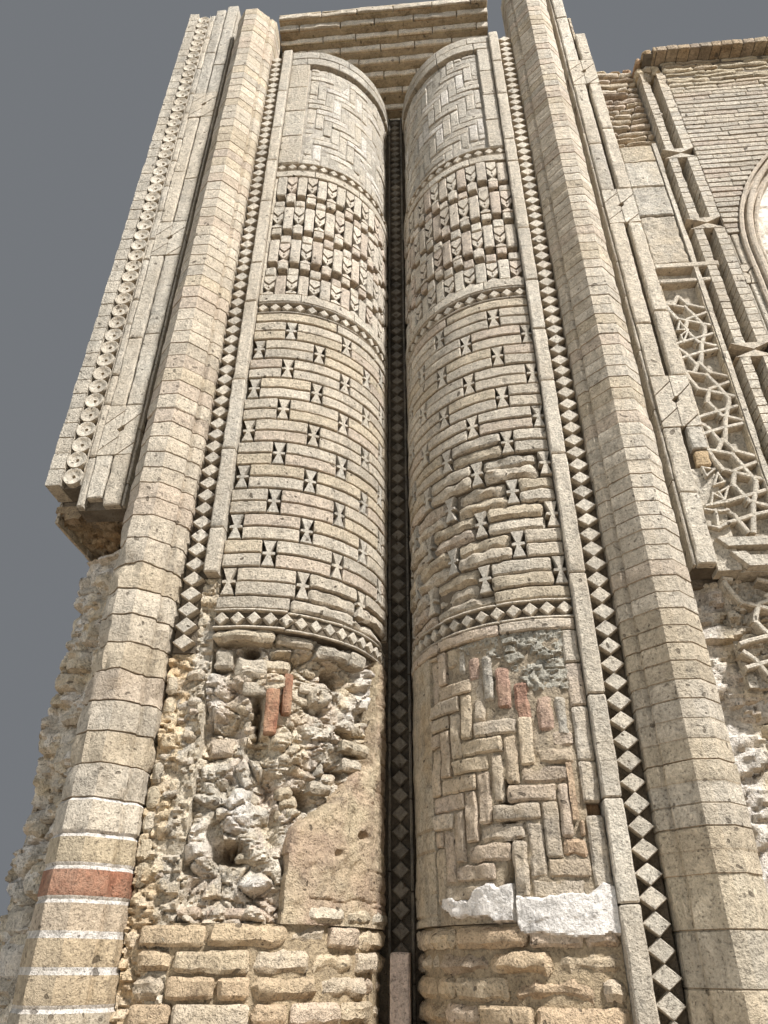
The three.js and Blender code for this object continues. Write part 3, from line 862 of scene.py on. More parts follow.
for side in (-1, 1):
    diamond_ring(side, 2.542, "lower_ring", 0.012 if side < 0 else 0.004, 0.56 if side < 0 else 0.3, 31)
    diamond_ring(side, 4.027, "middle_ring", 0.0006, 1.0, 32)
    diamond_ring(side, 5.08, "upper_ring", 0.0006, 1.0, 33)

# %% [markdown]
# ## The woven panels
# The top band of each shaft and the lower right one are laid in herringbone: bricks three
# times as long as wide, lying and standing in turn. On a grid of brick widths, the number
# column minus row, taken in turns of six, says to which brick a cell belongs.

# %% Herringbone bricks
BRICK_WIDE = 0.0495


def herringbone(s0, s1, z0, z1, wide=BRICK_WIDE):
    """Corners of the bricks that touch the rectangle, cut off at its edges, as s0, s1, z0, z1
    and 1 for a standing brick. Where column - row is a multiple of 6, a lying brick starts;
    where it is one less than a multiple of 6, a standing brick starts."""
    columns, rows = (np.arange(-4, int((v1 - v0) / wide) + 4) for v0, v1 in ((s0, s1), (z0, z1)))
    column, line = np.meshgrid(columns, rows)
    found = []
    for stands, turn in ((0, 0), (1, 5)):
        here = (column - line) % 6 == turn
        low_s, low_z = s0 + column[here] * wide, z0 + line[here] * wide
        high_s, high_z = low_s + wide * (3 - 2 * stands), low_z + wide * (1 + 2 * stands)
        found.append(np.stack([low_s, high_s, low_z, high_z, 0 * low_s + stands], 1))
    found = np.concatenate(found)
    found[:, 0:2] = found[:, 0:2].clip(s0, s1)
    found[:, 2:4] = found[:, 2:4].clip(z0, z1)
    keep = (found[:, 1] - found[:, 0] > 0.012) & (found[:, 3] - found[:, 2] > 0.012)
    return found[keep].T


def top_panel(side, border, seed):
    """Smeared herringbone, sunk behind a plain fascia at the top and a plain outer border. It is
    laid in two lots, because standing bricks need more rows and lying ones more columns of
    points to follow the round of the shaft."""
    pile = Pile(on_shaft(side), seed)

    def smear(s, z, p):
        return -0.0222 + 0.0035 * ragged(p, 0.05, 3) - 0.03 * (z > 6.127)

    sheet(pile, 0, PANEL_WIDE, 5.15, SHAFT_TOP, 0.014, smear, -0.12, 0.62 * GREY + 0.08 * SAND, "plaster")
    *corners, stands = herringbone(0.0, border - 0.008, 5.153, 6.125)
    pick = np.random.default_rng(seed)
    half_joint = 0.0019
    for kind, across, up in ((0, 6, 2), (1, 2, 5)):
        a, b, c, d = (v[stands == kind] for v in corners)
        amount = 0.0016 + 0.002 * noise(np.stack([a, c, 0 * a], -1), 0.2, 3)
        top = -0.0125 - 0.0075 * pick.random(len(a)) - amount
        tints = shades(len(a), [0.9 * PALE, WHITE, 0.85 * GREY, 0.9 * CREAM, 0.85 * PALE], seed + kind)
        lay(pile, a + half_joint, b - half_joint, c + half_joint, d - half_joint, top, -0.0525, tints,
            across=across, up=up, soft=0.003, wear=0.001 + 0.8 * amount)
    pick = np.random.default_rng(seed)
    for width in ((6.152, 6.222), (6.226, 6.298)):
        bond = (0.21, 0.003, 0.5 * pick.random())
        row(pile, (0, PANEL_WIDE), width, bond, pick, [CREAM, PALE, GREY], "cut_brick", uneven=0.002,
            foot=-0.04, vary=0.12, tone=0.88, across=4, soft=0.003, wear=0.001)
    low = np.arange(5.153, 6.14, 0.249)
    tints = 0.9 * shades(len(low), [CREAM, CREAM, PALE], seed + 5, 0.02)
    lay(pile, border, PANEL_WIDE - 0.001, low, np.minimum(low + 0.246, 6.149), -0.0015, -0.04, tints,
        across=2, up=6, soft=0.003, wear=0.0012, seed=seed + 1)
    pile.make(SIDE_NAME[side] + "_woven_bricks", SIDE_NAME[side] + "_shaft_woven_panel")


top_panel(-1, 0.705, 41)
top_panel(1, 0.742, 42)

# %% [markdown]
# ## Fillets and diamond strips
# Outside each shaft runs a plain fillet of long stones that stands 2 cm proud, then the
# upright chain of lozenges. On the left both are lost near the ground, so they stop where the
# solids say.


# %% Upright trims beside the shafts
def upright_trims(side, fillet_foot, chain_foot, seed):
    """The fillet is one row of long blocks; the chain is a deeply sunk ground with lozenges
    point to point, as wide as the strip."""
    name = SIDE_NAME[side]
    pick = np.random.default_rng(seed)
    pile = Pile(on_facade(side), seed)
    mix = [CREAM, CREAM, PALE, GREY]
    row(pile, (fillet_foot, SHAFT_TOP), (0.5885, 0.6405), (0.36, 0.003, 0.6), pick, mix, "moulding",
        0.0205, 0.0025, -0.12, 0.5, upright=True, spread=0.03, across=2, up=12, soft=0.003, wear=0.0022)
    pile.make(name + "_fillet_stones", name + "_fillet")
    pile = Pile(on_facade(side), seed)
    bed(pile, 0.642, 0.719, chain_foot, SHAFT_TOP, 0.034, step=0.08, tint=0.8 * DUST)
    z = np.arange(chain_foot + 0.029, 6.28, 0.0575)
    uneven = 1 + 0.05 * pick.normal(size=(len(z), 4, 1))
    outline = np.repeat(lozenge(0.074, 0.0565)[None], len(z), 0) * uneven
    outline[..., 0] = outline[..., 0].clip(-0.0375, 0.0375)
    top = -0.001 - 0.004 * pick.random(len(z))
    cut(pile, 0.6805 + 0 * z, z, outline, top, -0.045, shades(len(z), [PALE, CREAM, GREY], seed), bevel=0.004)
    pile.make(name + "_lozenge_chain", name + "_diamond_strip")


upright_trims(-1, 2.74, 2.47, 51)
upright_trims(1, 0.0, 0.0, 52)

# %% [markdown]
# ## The octagonal rolls
# A roll is one outline of eight sides carried straight up, built in shallow courses. The
# outline is pulled in at each joint, and noise that grows toward the ground rounds the
# courses, as rain and salt have done. Near the ground the courses are taller, with pale
# mortar between them, and on the left one brick is red.


# %% Carry an outline up in courses
def outline_normals(path):
    """The outward direction at each corner of an open outline: the mean of the normals of the
    two sides that meet there."""
    step = np.diff(path, axis=0)
    normal = np.stack([step[:, 1], -step[:, 0]], 1)
    normal = normal / np.linalg.norm(normal, axis=1, keepdims=True)
    mean = np.concatenate([normal[:1], normal[:-1] + normal[1:], normal[-1:]])
    return mean / np.maximum(np.linalg.norm(mean, axis=1, keepdims=True), 0.6)


def facade_outline(corners, gap, side=1):
    """An outline given as x from the groove and y from the facade, set in its place, with extra
    corners so that no side is longer than gap."""
    path = np.asarray(corners, float)
    pairs = list(zip(path[:-1], path[1:]))
    counts = [max(1, math.ceil(np.linalg.norm(b - a) / gap)) + 1 for a, b in pairs]
    path = np.concatenate([np.linspace(a, b, n)[:-1] for (a, b), n in zip(pairs, counts)] + [path[-1:]])
    return np.stack([side * path[:, 0], FACADE_Y + path[:, 1]], 1)


def in_joint(tint):
    """The colour of a joint between stones of this tint."""
    return 0.8 * tint + 0.17 * DUST


def carry_up(pile, path, edges, joint, inset, wear, tints, finish, head=None, seam=None):
    """The outline (x, y corners from the back round the front to the back) at every joint and
    course, five rows of points to a course. Offsets along the normals are minus inset at a
    joint and noise between; wear is the depth of wear of each course. head gives the height
    to add at the top for x and y. joint is half a joint's height and seam its colour."""
    courses, seed = len(edges) - 1, pile.seed
    normals = outline_normals(path)
    normals[[0, -1]] = 0
    low, high = edges[:-1, None], edges[1:, None]
    half_joint = np.broadcast_to(joint, courses)[:, None]
    z = low + (high - low) * np.array([0.0, 0.0, 0.33, 0.67, 1.0]) + half_joint * np.array([0, 1, 0, 0, -1])
    z[:, 0] = edges[:-1] + 0.0005
    z = np.r_[z.ravel(), edges[-1]]
    course = np.arange(courses)
    pull = (inset * (0.25 + 1.1 * drawn(course, 5, 0, seed)))[:, None] * [1, 0, 0, 0, 0]
    worn = np.r_[np.repeat(wear, 5), wear[-1]]
    pull = np.r_[pull.ravel(), 0.0] + np.r_[np.tile([0.5, 0.2, 0.0, 0.0, 0.2], courses), 0.2] * worn
    upright = np.broadcast_to(z[:, None, None], (len(z), len(path), 1))
    points = np.concatenate([np.broadcast_to(path[None], (len(z), *path.shape)), upright], 2)
    lean = 0.003 * (drawn(np.r_[np.repeat(course, 5), courses - 1], 3, 0, seed) - 0.5)
    depth = lean[:, None] - 0.0012 - pull[:, None] + 0.0016 * ragged(points, 0.06, seed)
    depth = depth + worn[:, None] * (0.8 * ragged(points, 0.055, seed + 3) - 0.4)
    points[..., :2] += normals[None] * np.minimum(depth, 0.0009)[..., None]
    if head is not None:
        points[-1, :, 2] += head(points[-1, :, 0], points[-1, :, 1])
    if tints.ndim == 2:
        tints = np.repeat(tints[:, None], len(path) - 1, 1)
    by_row = np.repeat(tints, 5, 0)
    by_row[0::5] = in_joint(by_row[0::5])
    if seam is not None:
        by_row[0::5] = seam[:, None]
        by_row[4::5] = seam[:, None]
    colour = np.concatenate([by_row.reshape(-1, 3), by_row[:, 0], np.repeat(tints[-1:, 0], 2, 0)])
    pile.add(points.reshape(1, -1, 3), skin_faces(len(z), len(path)), colour[None], finish)


# %% The two rolls
ROLL = [(0.719, 0.12), (0.719, -0.006), (0.742, -0.033), (0.756, -0.033), (0.756, -0.048),
        (0.8175, -0.109), (0.891, -0.109), (0.952, -0.048), (0.952, 0.12)]
LIMED_BELOW = 2.0
RED_COURSE = 1.79


def roll_piece(side, top, seed):
    """Course heights follow the wall: 12 cm near the ground on the right, 8 cm with wide
    mortar on the left, 10 cm where the roll is worn into lumps, 7 cm above on the left and
    5.6 cm above on the right."""
    path = facade_outline(ROLL, 0.021, side)[::side]
    if side < 0:
        lower_edges = [np.linspace(0, 1.908, 25)[:-1], np.linspace(1.908, 2.93, 12)[:-1]]
        edges = np.concatenate([*lower_edges, np.linspace(2.93, top, 55)])
    else:
        edges = np.concatenate([np.linspace(0, 1.8, 16)[:-1], np.linspace(1.8, top, 93)])
    middle = (edges[:-1] + edges[1:]) / 2
    if side < 0:
        wear = 0.0014 + 0.013 * np.exp(-((middle - 2.4) / 0.45) ** 4)
        wear = wear + 0.004 * (middle < 3.4) * (middle > 2.0) + 0.0015 * (middle < 2.0)
    else:
        wear = 0.002 + 0.005 * (middle < 1.8)
    pick = np.random.default_rng(seed)
    count, sides = len(middle), np.arange(len(path) - 1)
    upper = shades(count, [CREAM, 0.9 * SAND, PALE, GREY, CREAM, 0.92 * ROSE], seed, 0.06)
    lower = shades(count, [SAND, 0.5 * OCHRE + 0.5 * SAND, GREY, SAND, 0.9 * ROSE, OLIVE], seed + 1, 0.05)
    if side > 0:
        lower = 0.55 * lower + 0.42 * CREAM
    tints = np.where((middle < 1.93)[:, None], lower, upper)[:, None] * np.ones((1, len(sides), 1))
    halves = 1 + 0.07 * pick.normal(size=(count, 1, 1)) * (sides > len(path) / 2)[None, :, None]
    tints = tints * np.where(pick.random((count, 1, 1)) < 0.45, halves, 1.0)
    if side < 0:
        tints[np.argmin(np.abs(middle - RED_COURSE))] = RED
    facing_in = (sides < len(path) / 2) == (side > 0)
    tints = tints * np.where(facing_in[None, :, None], (1.0, 0.985, 0.96), 1.0)

    def broken_head(x, y):
        return -0.25 * side * (x - side * 0.83) + 0.2 * (y - FACADE_Y)

    limed = (side < 0) * (middle < LIMED_BELOW)
    seam = np.where(limed[:, None], 0.92 * WHITE, in_joint(tints[:, 0]))
    pile = Pile(seed=seed)
    inset = 0.0036 if side < 0 else 0.0026
    carry_up(pile, path, edges, 0.003 + 0.0055 * limed, inset, wear, tints, "moulding", broken_head, seam)
    pile.make(SIDE_NAME[side] + "_roll_courses", SIDE_NAME[side] + "_octagonal_roll", 30.0)


roll_piece(-1, 6.66, 61)
roll_piece(1, 6.85, 62)

# %% [markdown]
# ## The interlace strips
# Two flat bands run up each outer strip and cross in a knot every 1.2 m. Between the knots a
# groove parts them; at a knot, the stones are cut on the slant, with a small hole where the
# bands turn round each other.

# %% Bands and knots
KNOT_HEIGHTS = (3.41, 4.6, 5.8)
KNOT_HALF = 0.125
STRIP_MIDDLE = 1.0805


def knot(pile, z, half, tints, top, turn):
    """Six slanted stones that fill the strip at a knot. All cuts rise at 45 degrees; those of
    the right half lie lower than those of the left, which makes the bands seem to cross.
    With turn -1 the knot is mirrored."""
    w, h, gap = half, KNOT_HALF, 0.001
    stones = [
        [(-w, 0.03), (-gap, 0.0975), (-gap, h), (-w, h)],
        [(-w, -0.1), (-gap, -0.036), (-gap, -0.013), (-0.014, 0.0), (-gap, 0.013), (-gap, 0.0935),
         (-w, 0.026)],
        [(-w, -h), (-gap, -h), (-gap, -0.04), (-w, -0.104)],
        [(gap, 0.017), (0.014, 0.022), (w, 0.08), (w, h), (gap, h)],
        [(gap, -h), (0.008, -h), (w, -0.069), (w, 0.076), (0.016, 0.018), (0.015, -0.002), (gap, -0.013)],
        [(0.014, -h), (w, -h), (w, -0.074)],
    ]
    for stone, tint in zip(stones, tints):
        outline = np.array(stone) * (turn, 1)
        cut(pile, STRIP_MIDDLE - 0.003, z, outline, top, -0.06, tint, "moulding", bevel=0.0022)


def interlace(side, foot, top, outer, groove, band_feet, band_tops, seed):
    """Ground, a slanted inner edge, the two bands in long stones, and the knots."""
    name = SIDE_NAME[side]
    pile = Pile(on_facade(side), seed)
    pick = np.random.default_rng(seed)
    bed(pile, 0.997, outer, foot, min(band_tops) - 0.02, 0.036, step=0.1, tint=0.8 * DUST)
    bands = ((1.008, STRIP_MIDDLE - groove / 2), (STRIP_MIDDLE + groove / 2, 1.147))
    for band, band_foot, band_top in zip(bands, band_feet, band_tops):
        ends = [v for z in KNOT_HEIGHTS for v in (z - KNOT_HALF, z + KNOT_HALF) if v > band_foot]
        stops = [band_foot, *ends, band_top]
        for low, high in zip(stops[0::2], stops[1::2]):
            start, end = rows_of(low, high, 0.8, 0.0022, 0.5, pick, 0.3)
            level = -0.001 - 0.004 * pick.random(len(start))
            tints = shades(len(start), [CREAM, PALE, CREAM, GREY], int(pick.integers(999)), 0.03)
            lay(pile, *band, start, end, level, -0.1, tints, "moulding", up=24, soft=0.003, wear=0.0022,
                rough=0.0018)
    for z in KNOT_HEIGHTS:
        knot(pile, z, 0.0695, shades(6, [CREAM, PALE, CREAM], int(z * 100), 0.03), -0.003, side)
    row(pile, (foot, band_tops[0] - 0.06), (0.9955, 1.0065), (0.3, 0.003, 0.2), pick, [CREAM, GREY],
        "moulding", -0.012, foot=-0.1, upright=True, across=0, up=7, soft=0.003, wear=0.001)
    if outer > 1.15:
        row(pile, (foot, top - 0.08), (1.1495, outer - 0.001), (0.22, 0.003, 0.2), pick, [CREAM, GREY],
            "moulding", -0.004, 0.003, -0.1, upright=True, across=2, up=7, wear=0.003)
    pile.make(name + "_interlace_bands", name + "_interlace_strip")


interlace(-1, 3.05, 6.985, 1.182, 0.008, (3.05, 3.085), (7.005, 6.96), 71)
interlace(1, 2.715, 6.985, 1.148, 0.021, (2.715, 3.18), (7.005, 6.235), 72)

# %% [markdown]
# ## The chain of discs
# The outer left strip carries a chain of short round studs that touch one another. The face of
# each is dished, so that its upper half lies in shade and the lower rim is bright, and in the
# middle is a small dark eye.

# %% Dished studs
STUD_RADIUS = np.array([0.034, 0.0385, 0.0385, 0.0375, 0.033, 0.024, 0.013, 0.008, 0.0065, 0.004])
STUD_DEPTH = np.array([-0.06, -0.04, -0.0035, -0.001, -0.0012, -0.007, -0.0095, -0.009, -0.019, -0.02])
STUD_SIDES = 24
CHAIN_FOOT, CHAIN_TOP = 3.15, 6.9


def studs(pile, s, z, tints):
    """A stud is a profile turned round its own axis: radius and depth from the wall, out along
    the side, over the rim, down into the dish and into the eye. Noise wears the rims."""
    around = np.linspace(0, 2 * math.pi, STUD_SIDES + 1)[:-1]
    across, up = STUD_RADIUS[:, None] * np.cos(around), STUD_RADIUS[:, None] * np.sin(around)
    at_s, at_z = s[:, None] + across.ravel(), z[:, None] + up.ravel()
    depth = (STUD_DEPTH[:, None] + 0 * across).ravel() + 0 * at_s
    worn = 0.0016 * ragged(pile.place(at_s, at_z, depth), 0.02, 77)
    shift = 0.004 * (drawn(np.arange(len(s)), 0, 0, 78)[:, None] - 1)
    points = pile.place(at_s, at_z, np.minimum(depth + worn + shift, -0.0005))
    pile.add(points, ring_faces(len(STUD_RADIUS), STUD_SIDES), tints, "stucco")


def disc_chain(seed):
    """Studs from the foot of the strip to its broken top, in a channel between two lips."""
    pile = Pile(on_facade(-1), seed)
    pick = np.random.default_rng(seed)
    bed(pile, 1.182, 1.264, CHAIN_FOOT, CHAIN_TOP, 0.03, step=0.08, tint=0.8 * DUST)
    z = np.arange(3.192, 6.86, 0.0762)
    studs(pile, 1.2225 + 0.001 * pick.normal(size=len(z)), z, shades(len(z), [PALE, PALE, CREAM], seed, 0.04))
    start, end = rows_of(CHAIN_FOOT, CHAIN_TOP, 0.24, 0.003, 0.2, pick, 0.3)
    tints = shades(len(start), [CREAM, GREY], seed)
    for lip in ((1.1825, 1.1845), (1.2615, 1.2635)):
        lay(pile, *lip, start, end, -0.006, -0.06, tints, "moulding", across=0, up=7, soft=0.0008,
            wear=0.0002)
    pile.make("left_disc_cups", "left_disc_chain_strip")


disc_chain(75)

# %% [markdown]
# ## The far left edge
# Plain blocks, one to a course, close the left wing. They end on the side of the pier, so
# that each one shows a face to the front and one to the left.


# %% Edge courses
def edge_courses(seed):
    """One outline carried up: the front, the arris and the side of the wing."""
    path = facade_outline([(-1.264, 0.12), (-1.264, 0.001), (-1.3235, 0.001), (-1.3235, 0.12)], 0.02)[::-1]
    edges = np.linspace(CHAIN_FOOT, 6.93, 50)
    wear = 0.001 + 0.001 * np.random.default_rng(seed).random(49)
    pile = Pile(seed=seed)

    def broken_head(x, y):
        return -0.3 * (x + 1.2945) + 0.1 * (y - FACADE_Y)

    tints = shades(49, [CREAM, PALE, GREY, GREY], seed, 0.05)
    carry_up(pile, path, edges, 0.003, 0.004, wear, tints, "cut_brick", broken_head)
    pile.make("left_edge_blocks", "left_edge_courses", 30.0)


edge_courses(78)

# %% [markdown]
# ## The foot of the shafts
# Below 1.7 m both shafts are bare brick: ordinary courses whose edges have weathered round,
# with deep joints. The left courses run on past the shaft, where the trims are lost.


# %% Weathered courses at the foot
def foot_courses(side, reach, seed):
    """Courses 58 mm high from the ground to 1.7 m. Each brick is worn by its own amount."""
    pile = Pile(on_shaft(side), seed)
    bed(pile, 0, PANEL_WIDE, 0.0, 1.7, 0.027, tint=0.7 * SAND + 0.4 * OCHRE)
    courses = coursed(0.0, reach, 0.0, 1.7, 0.0586, 0.175, 0.009, seed, vary=0.7, bond=0.45)
    count = courses.shape[1]
    pick = np.random.default_rng(seed)
    wear = 0.0045 + 0.012 * pick.random(count) ** 2
    mix = [SAND, 0.6 * OCHRE + 0.4 * SAND, ROSE, 0.5 * OCHRE + 0.3 * SAND + 0.2 * RED, CREAM]
    top = -0.003 - 1.4 * wear * pick.random(count)
    lay(pile, *courses, top, -0.06, 1.08 * shades(count, mix, seed, 0.08), "worn_block", across=8, up=4,
        wear=wear, rough=0.003)
    pile.make(SIDE_NAME[side] + "_foot_bricks", SIDE_NAME[side] + "_shaft_base")


foot_courses(-1, 0.905, 81)
foot_courses(1, PANEL_WIDE - 0.001, 82)

# %% [markdown]
# ## The lost face on the left
# Under the lowest ring the facing has fallen away, and the broken masonry behind it shows. It
# is one fine grid. The distance to the nearest of many random points parts the surface into
# lumps, each standing at its own depth, and the gap between nearest and second nearest makes
# the cracks. Hollows and nodules that can be told apart are then listed, each with a place,
# two half widths and a depth.


# %% Broken masonry and loose stones
def crag_shape(level, size, deep, seed):
    """A depth function: lumps with nearly flat faces and the same again at less than half the
    size, parted by cracks, over soft noise at three sizes."""
    def shape(s, z, p):
        squashed = p * (1, 1, 1.5) + 0.25 * size * noise(p, size * 0.8, seed + 20)[..., None]
        stones, cracks = 0.0, 0.0
        for scale, own_seed, share, edge, middle, gap, deepest in ((1.0, 0, 1.0, 0.22, 0.35, 0.07, 0.3),
                                                                   (0.42, 7, 0.4, 0.3, 0.4, 0.12, 0.12)):
            first, second, number = lumps(squashed, size * scale, seed + own_seed)
            stones = stones + share * np.clip((second - first) / edge, 0, 1) ** 0.6 * (number - middle)
            cracks = cracks + deepest * np.exp(-((second - first) / gap) ** 2)
        soft = 0.42 * ragged(p, size * 2.1, seed + 1) + 0.15 * ragged(p, size * 0.45, seed + 2)
        return level + deep * (stones - cracks + soft)
    return shape


def crag_colour(seed, mix, dark=0.0):
    """A tint for each face: a soft blend between the colours of the mix, a little grain, and
    single lumps in a colour of their own."""
    mix = np.array(mix)

    def colour(s, z, p):
        number = lumps(p * (1, 1, 1.5), 0.07, seed)[2]
        at = (0.5 + 0.5 * ragged(p, 0.17, seed + 2)).clip(0, 0.999) * (len(mix) - 1)
        low = at.astype(int)
        blend = mix[low] + (mix[low + 1] - mix[low]) * (at - low)[..., None]
        own = mix[(number * len(mix)).astype(int) % len(mix)]
        shade = (1.13 - dark) * (1 + 0.1 * noise(p, 0.012, seed + 3) + 0.08 * ragged(p, 0.05, seed + 4))
        return (0.6 * blend + 0.4 * own) * shade[..., None]
    return colour


def loose_stones(pile, count, s_range, z_range, level, seed, keep=None, size=(0.05, 0.13),
                 colours=(CREAM, SAND, GREY, ROSE)):
    """Rounded stones and broken bricks that stick out of the rubble at random."""
    pick = np.random.default_rng(seed)
    s, z, wide = (pick.uniform(*span, count) for span in (s_range, z_range, size))
    high = wide * pick.uniform(0.4, 0.75, count)
    if keep is not None:
        s, z, wide, high = (v[keep(s, z)] for v in (s, z, wide, high))
    s0, s1 = np.maximum(s - wide / 2, s_range[0]), np.minimum(s + wide / 2, s_range[1])
    top = level + pick.uniform(-0.012, 0.012, len(s))
    tints = shades(len(s), list(colours), seed)
    lay(pile, s0, s1, z - high / 2, z + high / 2, top, level - 0.07, tints, "rubble", across=6, up=5,
        soft=0.007, wear=pick.uniform(0.006, 0.014, len(s)), rough=0.004, seed=seed)


# %% The lost face: hollows, nodules, slabs, and two red bricks on end
HOLLOWS = [(0.344, 2.421, 0.05, 0.032, 0.12), (0.5, 2.437, 0.1, 0.05, 0.042),
           (0.689, 2.48, 0.034, 0.02, 0.08), (0.758, 2.19, 0.08, 0.08, 0.036),
           (0.642, 2.262, 0.02, 0.075, 0.07), (0.615, 2.16, 0.045, 0.032, 0.045),
           (0.275, 2.25, 0.06, 0.015, 0.06), (0.33, 2.12, 0.05, 0.024, 0.06),
           (0.474, 2.03, 0.055, 0.026, 0.08), (0.586, 2.05, 0.036, 0.055, 0.04),
           (0.678, 1.866, 0.05, 0.028, 0.075), (0.56, 1.93, 0.03, 0.05, 0.035),
           (0.8, 2.43, 0.03, 0.03, 0.05), (0.72, 2.05, 0.03, 0.03, 0.035),
           (0.425, 2.31, 0.05, 0.014, 0.04)]
PALE_NODULES = [(0.795, 2.33, 0.035, 0.09, 0.04), (0.196, 2.43, 0.034, 0.09, 0.04),
                (0.673, 1.985, 0.042, 0.06, 0.042), (0.785, 1.895, 0.034, 0.065, 0.036),
                (0.595, 1.792, 0.045, 0.02, 0.04), (0.255, 2.33, 0.03, 0.05, 0.025)]
NODULES = [(0.55, 2.15, 0.06, 0.045, 0.022), (0.4, 2.215, 0.08, 0.045, 0.022),
           (0.7, 2.4, 0.06, 0.03, 0.022)]
SLABS = [(0.608, 0.812, 2.5, 2.54, -0.006), (0.19, 0.33, 2.186, 2.224, -0.008),
         (0.215, 0.31, 2.132, 2.172, -0.026), (0.455, 0.6, 2.506, 2.54, -0.034),
         (0.3, 0.445, 2.478, 2.52, -0.016), (0.56, 0.7, 2.332, 2.372, -0.038),
         (0.625, 0.735, 2.386, 2.452, -0.034), (0.745, 0.805, 2.415, 2.478, -0.026),
         (0.535, 0.66, 2.412, 2.452, -0.044), (0.385, 0.5, 2.352, 2.38, -0.034),
         (0.42, 0.52, 2.318, 2.346, -0.046), (0.345, 0.44, 2.05, 2.085, -0.03),
         (0.215, 0.3, 2.48, 2.53, -0.018), (0.56, 0.665, 1.845, 1.872, -0.04),
         (0.6, 0.7, 1.905, 1.928, -0.044)]
REMNANT_S = [0.0, 0.135, 0.165, 0.25, 0.3, 0.4, 0.49, 0.515, 0.525]
REMNANT_Z = [2.6, 2.6, 2.17, 2.15, 2.09, 2.005, 1.955, 1.9, 1.6]
RED_BRICKS = [(0.572, 0.616, 2.206, 2.352, -0.02), (0.528, 0.56, 2.272, 2.404, -0.026)]


def bump_at(s, z, at_s, at_z, wide, high):
    """1 in the middle of a place and 0 outside its half widths, with a steep edge: e to the
    power minus the fourth power of the scaled distance."""
    return np.exp(-(((s - at_s) / wide) ** 2 + ((z - at_z) / high) ** 2) ** 2)


def remnant_top(s):
    """Up to what height the old facing beside the groove is left, for a distance from it."""
    return np.interp(s, REMNANT_S, REMNANT_Z)


def lost_face():
    """The broken masonry with its hollows and nodules, stones, two red bricks on end, and
    crumbled bricks under the ring."""
    pile = Pile(on_shaft(-1), 94)
    ground = crag_shape(-0.06, 0.08, 0.04, 91)

    def shape(s, z, p):
        d = ground(s, z, p)
        for at_s, at_z, wide, high, deep in HOLLOWS:
            s_moved, z_moved = at_s + 0.008 * noise(p, 0.03, 5), at_z + 0.008 * noise(p, 0.035, 6)
            d = d - deep * bump_at(s, z, s_moved, z_moved, wide, high)
        for at_s, at_z, wide, high, out in PALE_NODULES + NODULES:
            s_moved, z_moved = at_s + 0.012 * noise(p, 0.04, 7), at_z + 0.012 * noise(p, 0.04, 8)
            d = d + out * bump_at(s, z, s_moved, z_moved, wide, high)
        d = d + 0.03 * np.exp(-((z - 1.715) / 0.03) ** 2) + 0.0022 * ragged(p, 0.016, 9)
        d = np.where(z < remnant_top(s) - 0.015, np.minimum(d, -0.035), d)
        return np.clip(d, -0.2, -0.004)

    plain = crag_colour(92, (0.92 * CREAM, SAND, GREY, 0.95 * CREAM, ROSE), -0.09)

    def colour(s, z, p):
        tint = plain(s, z, p)
        for at_s, at_z, wide, high, _ in PALE_NODULES:
            share = 0.75 * bump_at(s, z, at_s, at_z, 1.2 * wide, 1.2 * high)
            tint = tint + (0.95 * WHITE - tint) * share[..., None]
        # Deep hollows are painted darker and warmer: painted shade in the hollows.
        for at_s, at_z, wide, high, deep in HOLLOWS:
            if deep > 0.05:
                share = bump_at(s, z, at_s, at_z, wide, high)[..., None]
                tint = tint * (1 - np.array([0.5, 0.58, 0.66]) * share)
        return tint

    def clear(s, z):
        by_hollow, by_brick = np.abs(s - 0.344) + np.abs(z - 2.42), np.abs(s - 0.6) + np.abs(z - 2.28)
        return (by_hollow > 0.09) & (by_brick > 0.1) & (z > remnant_top(s) + 0.03)

    sheet(pile, 0.13, PANEL_WIDE, 1.7, 2.545, 0.0048, shape, -0.21, colour, "rubble")
    pick = np.random.default_rng(93)
    tints = shades(15, [CREAM, GREY, CREAM, SAND], 93, 0.06)
    wear = 0.003 + 0.007 * pick.random(15)
    lay(pile, *np.array(SLABS).T, -0.13, tints, "rubble", across=9, up=5, wear=wear, rough=0.004)
    loose_stones(pile, 34, (0.2, 0.8), (1.76, 2.5), -0.062, 95, clear, (0.03, 0.09))
    lay(pile, *np.array(RED_BRICKS).T, -0.14, [RED, 0.9 * RED], "worn_block", across=4, up=9, wear=0.0028,
        rough=0.002)
    crumbled = coursed(0.53, 0.815, 1.702, 1.742, 0.04, 0.16, 0.01, 99, vary=0.6)
    count = crumbled.shape[1]
    lay(pile, *crumbled, -0.012 - 0.02 * pick.random(count), -0.09, shades(count, [ROSE, SAND, ROSE], 97),
        "worn_block", across=7, up=4, soft=0.006, wear=0.01, rough=0.003, seed=90)
    pile.make("left_bare_rubble", "left_shaft_lost_face")


lost_face()

# %% [markdown]
# A tongue of the old facing is left beside the groove: a rosy skin, finely pitted, with a
# rounded broken edge on its left. Joints show only here and there. Above it a thin pillar of
# facing runs up to the ring.

# %% The remnant of facing beside the groove
REMNANT_COURSE = 0.0492
REMNANT_HOLES = [(0.215, 1.945, 0.032, 0.012, 0.022), (0.335, 1.885, 0.018, 0.01, 0.014)]


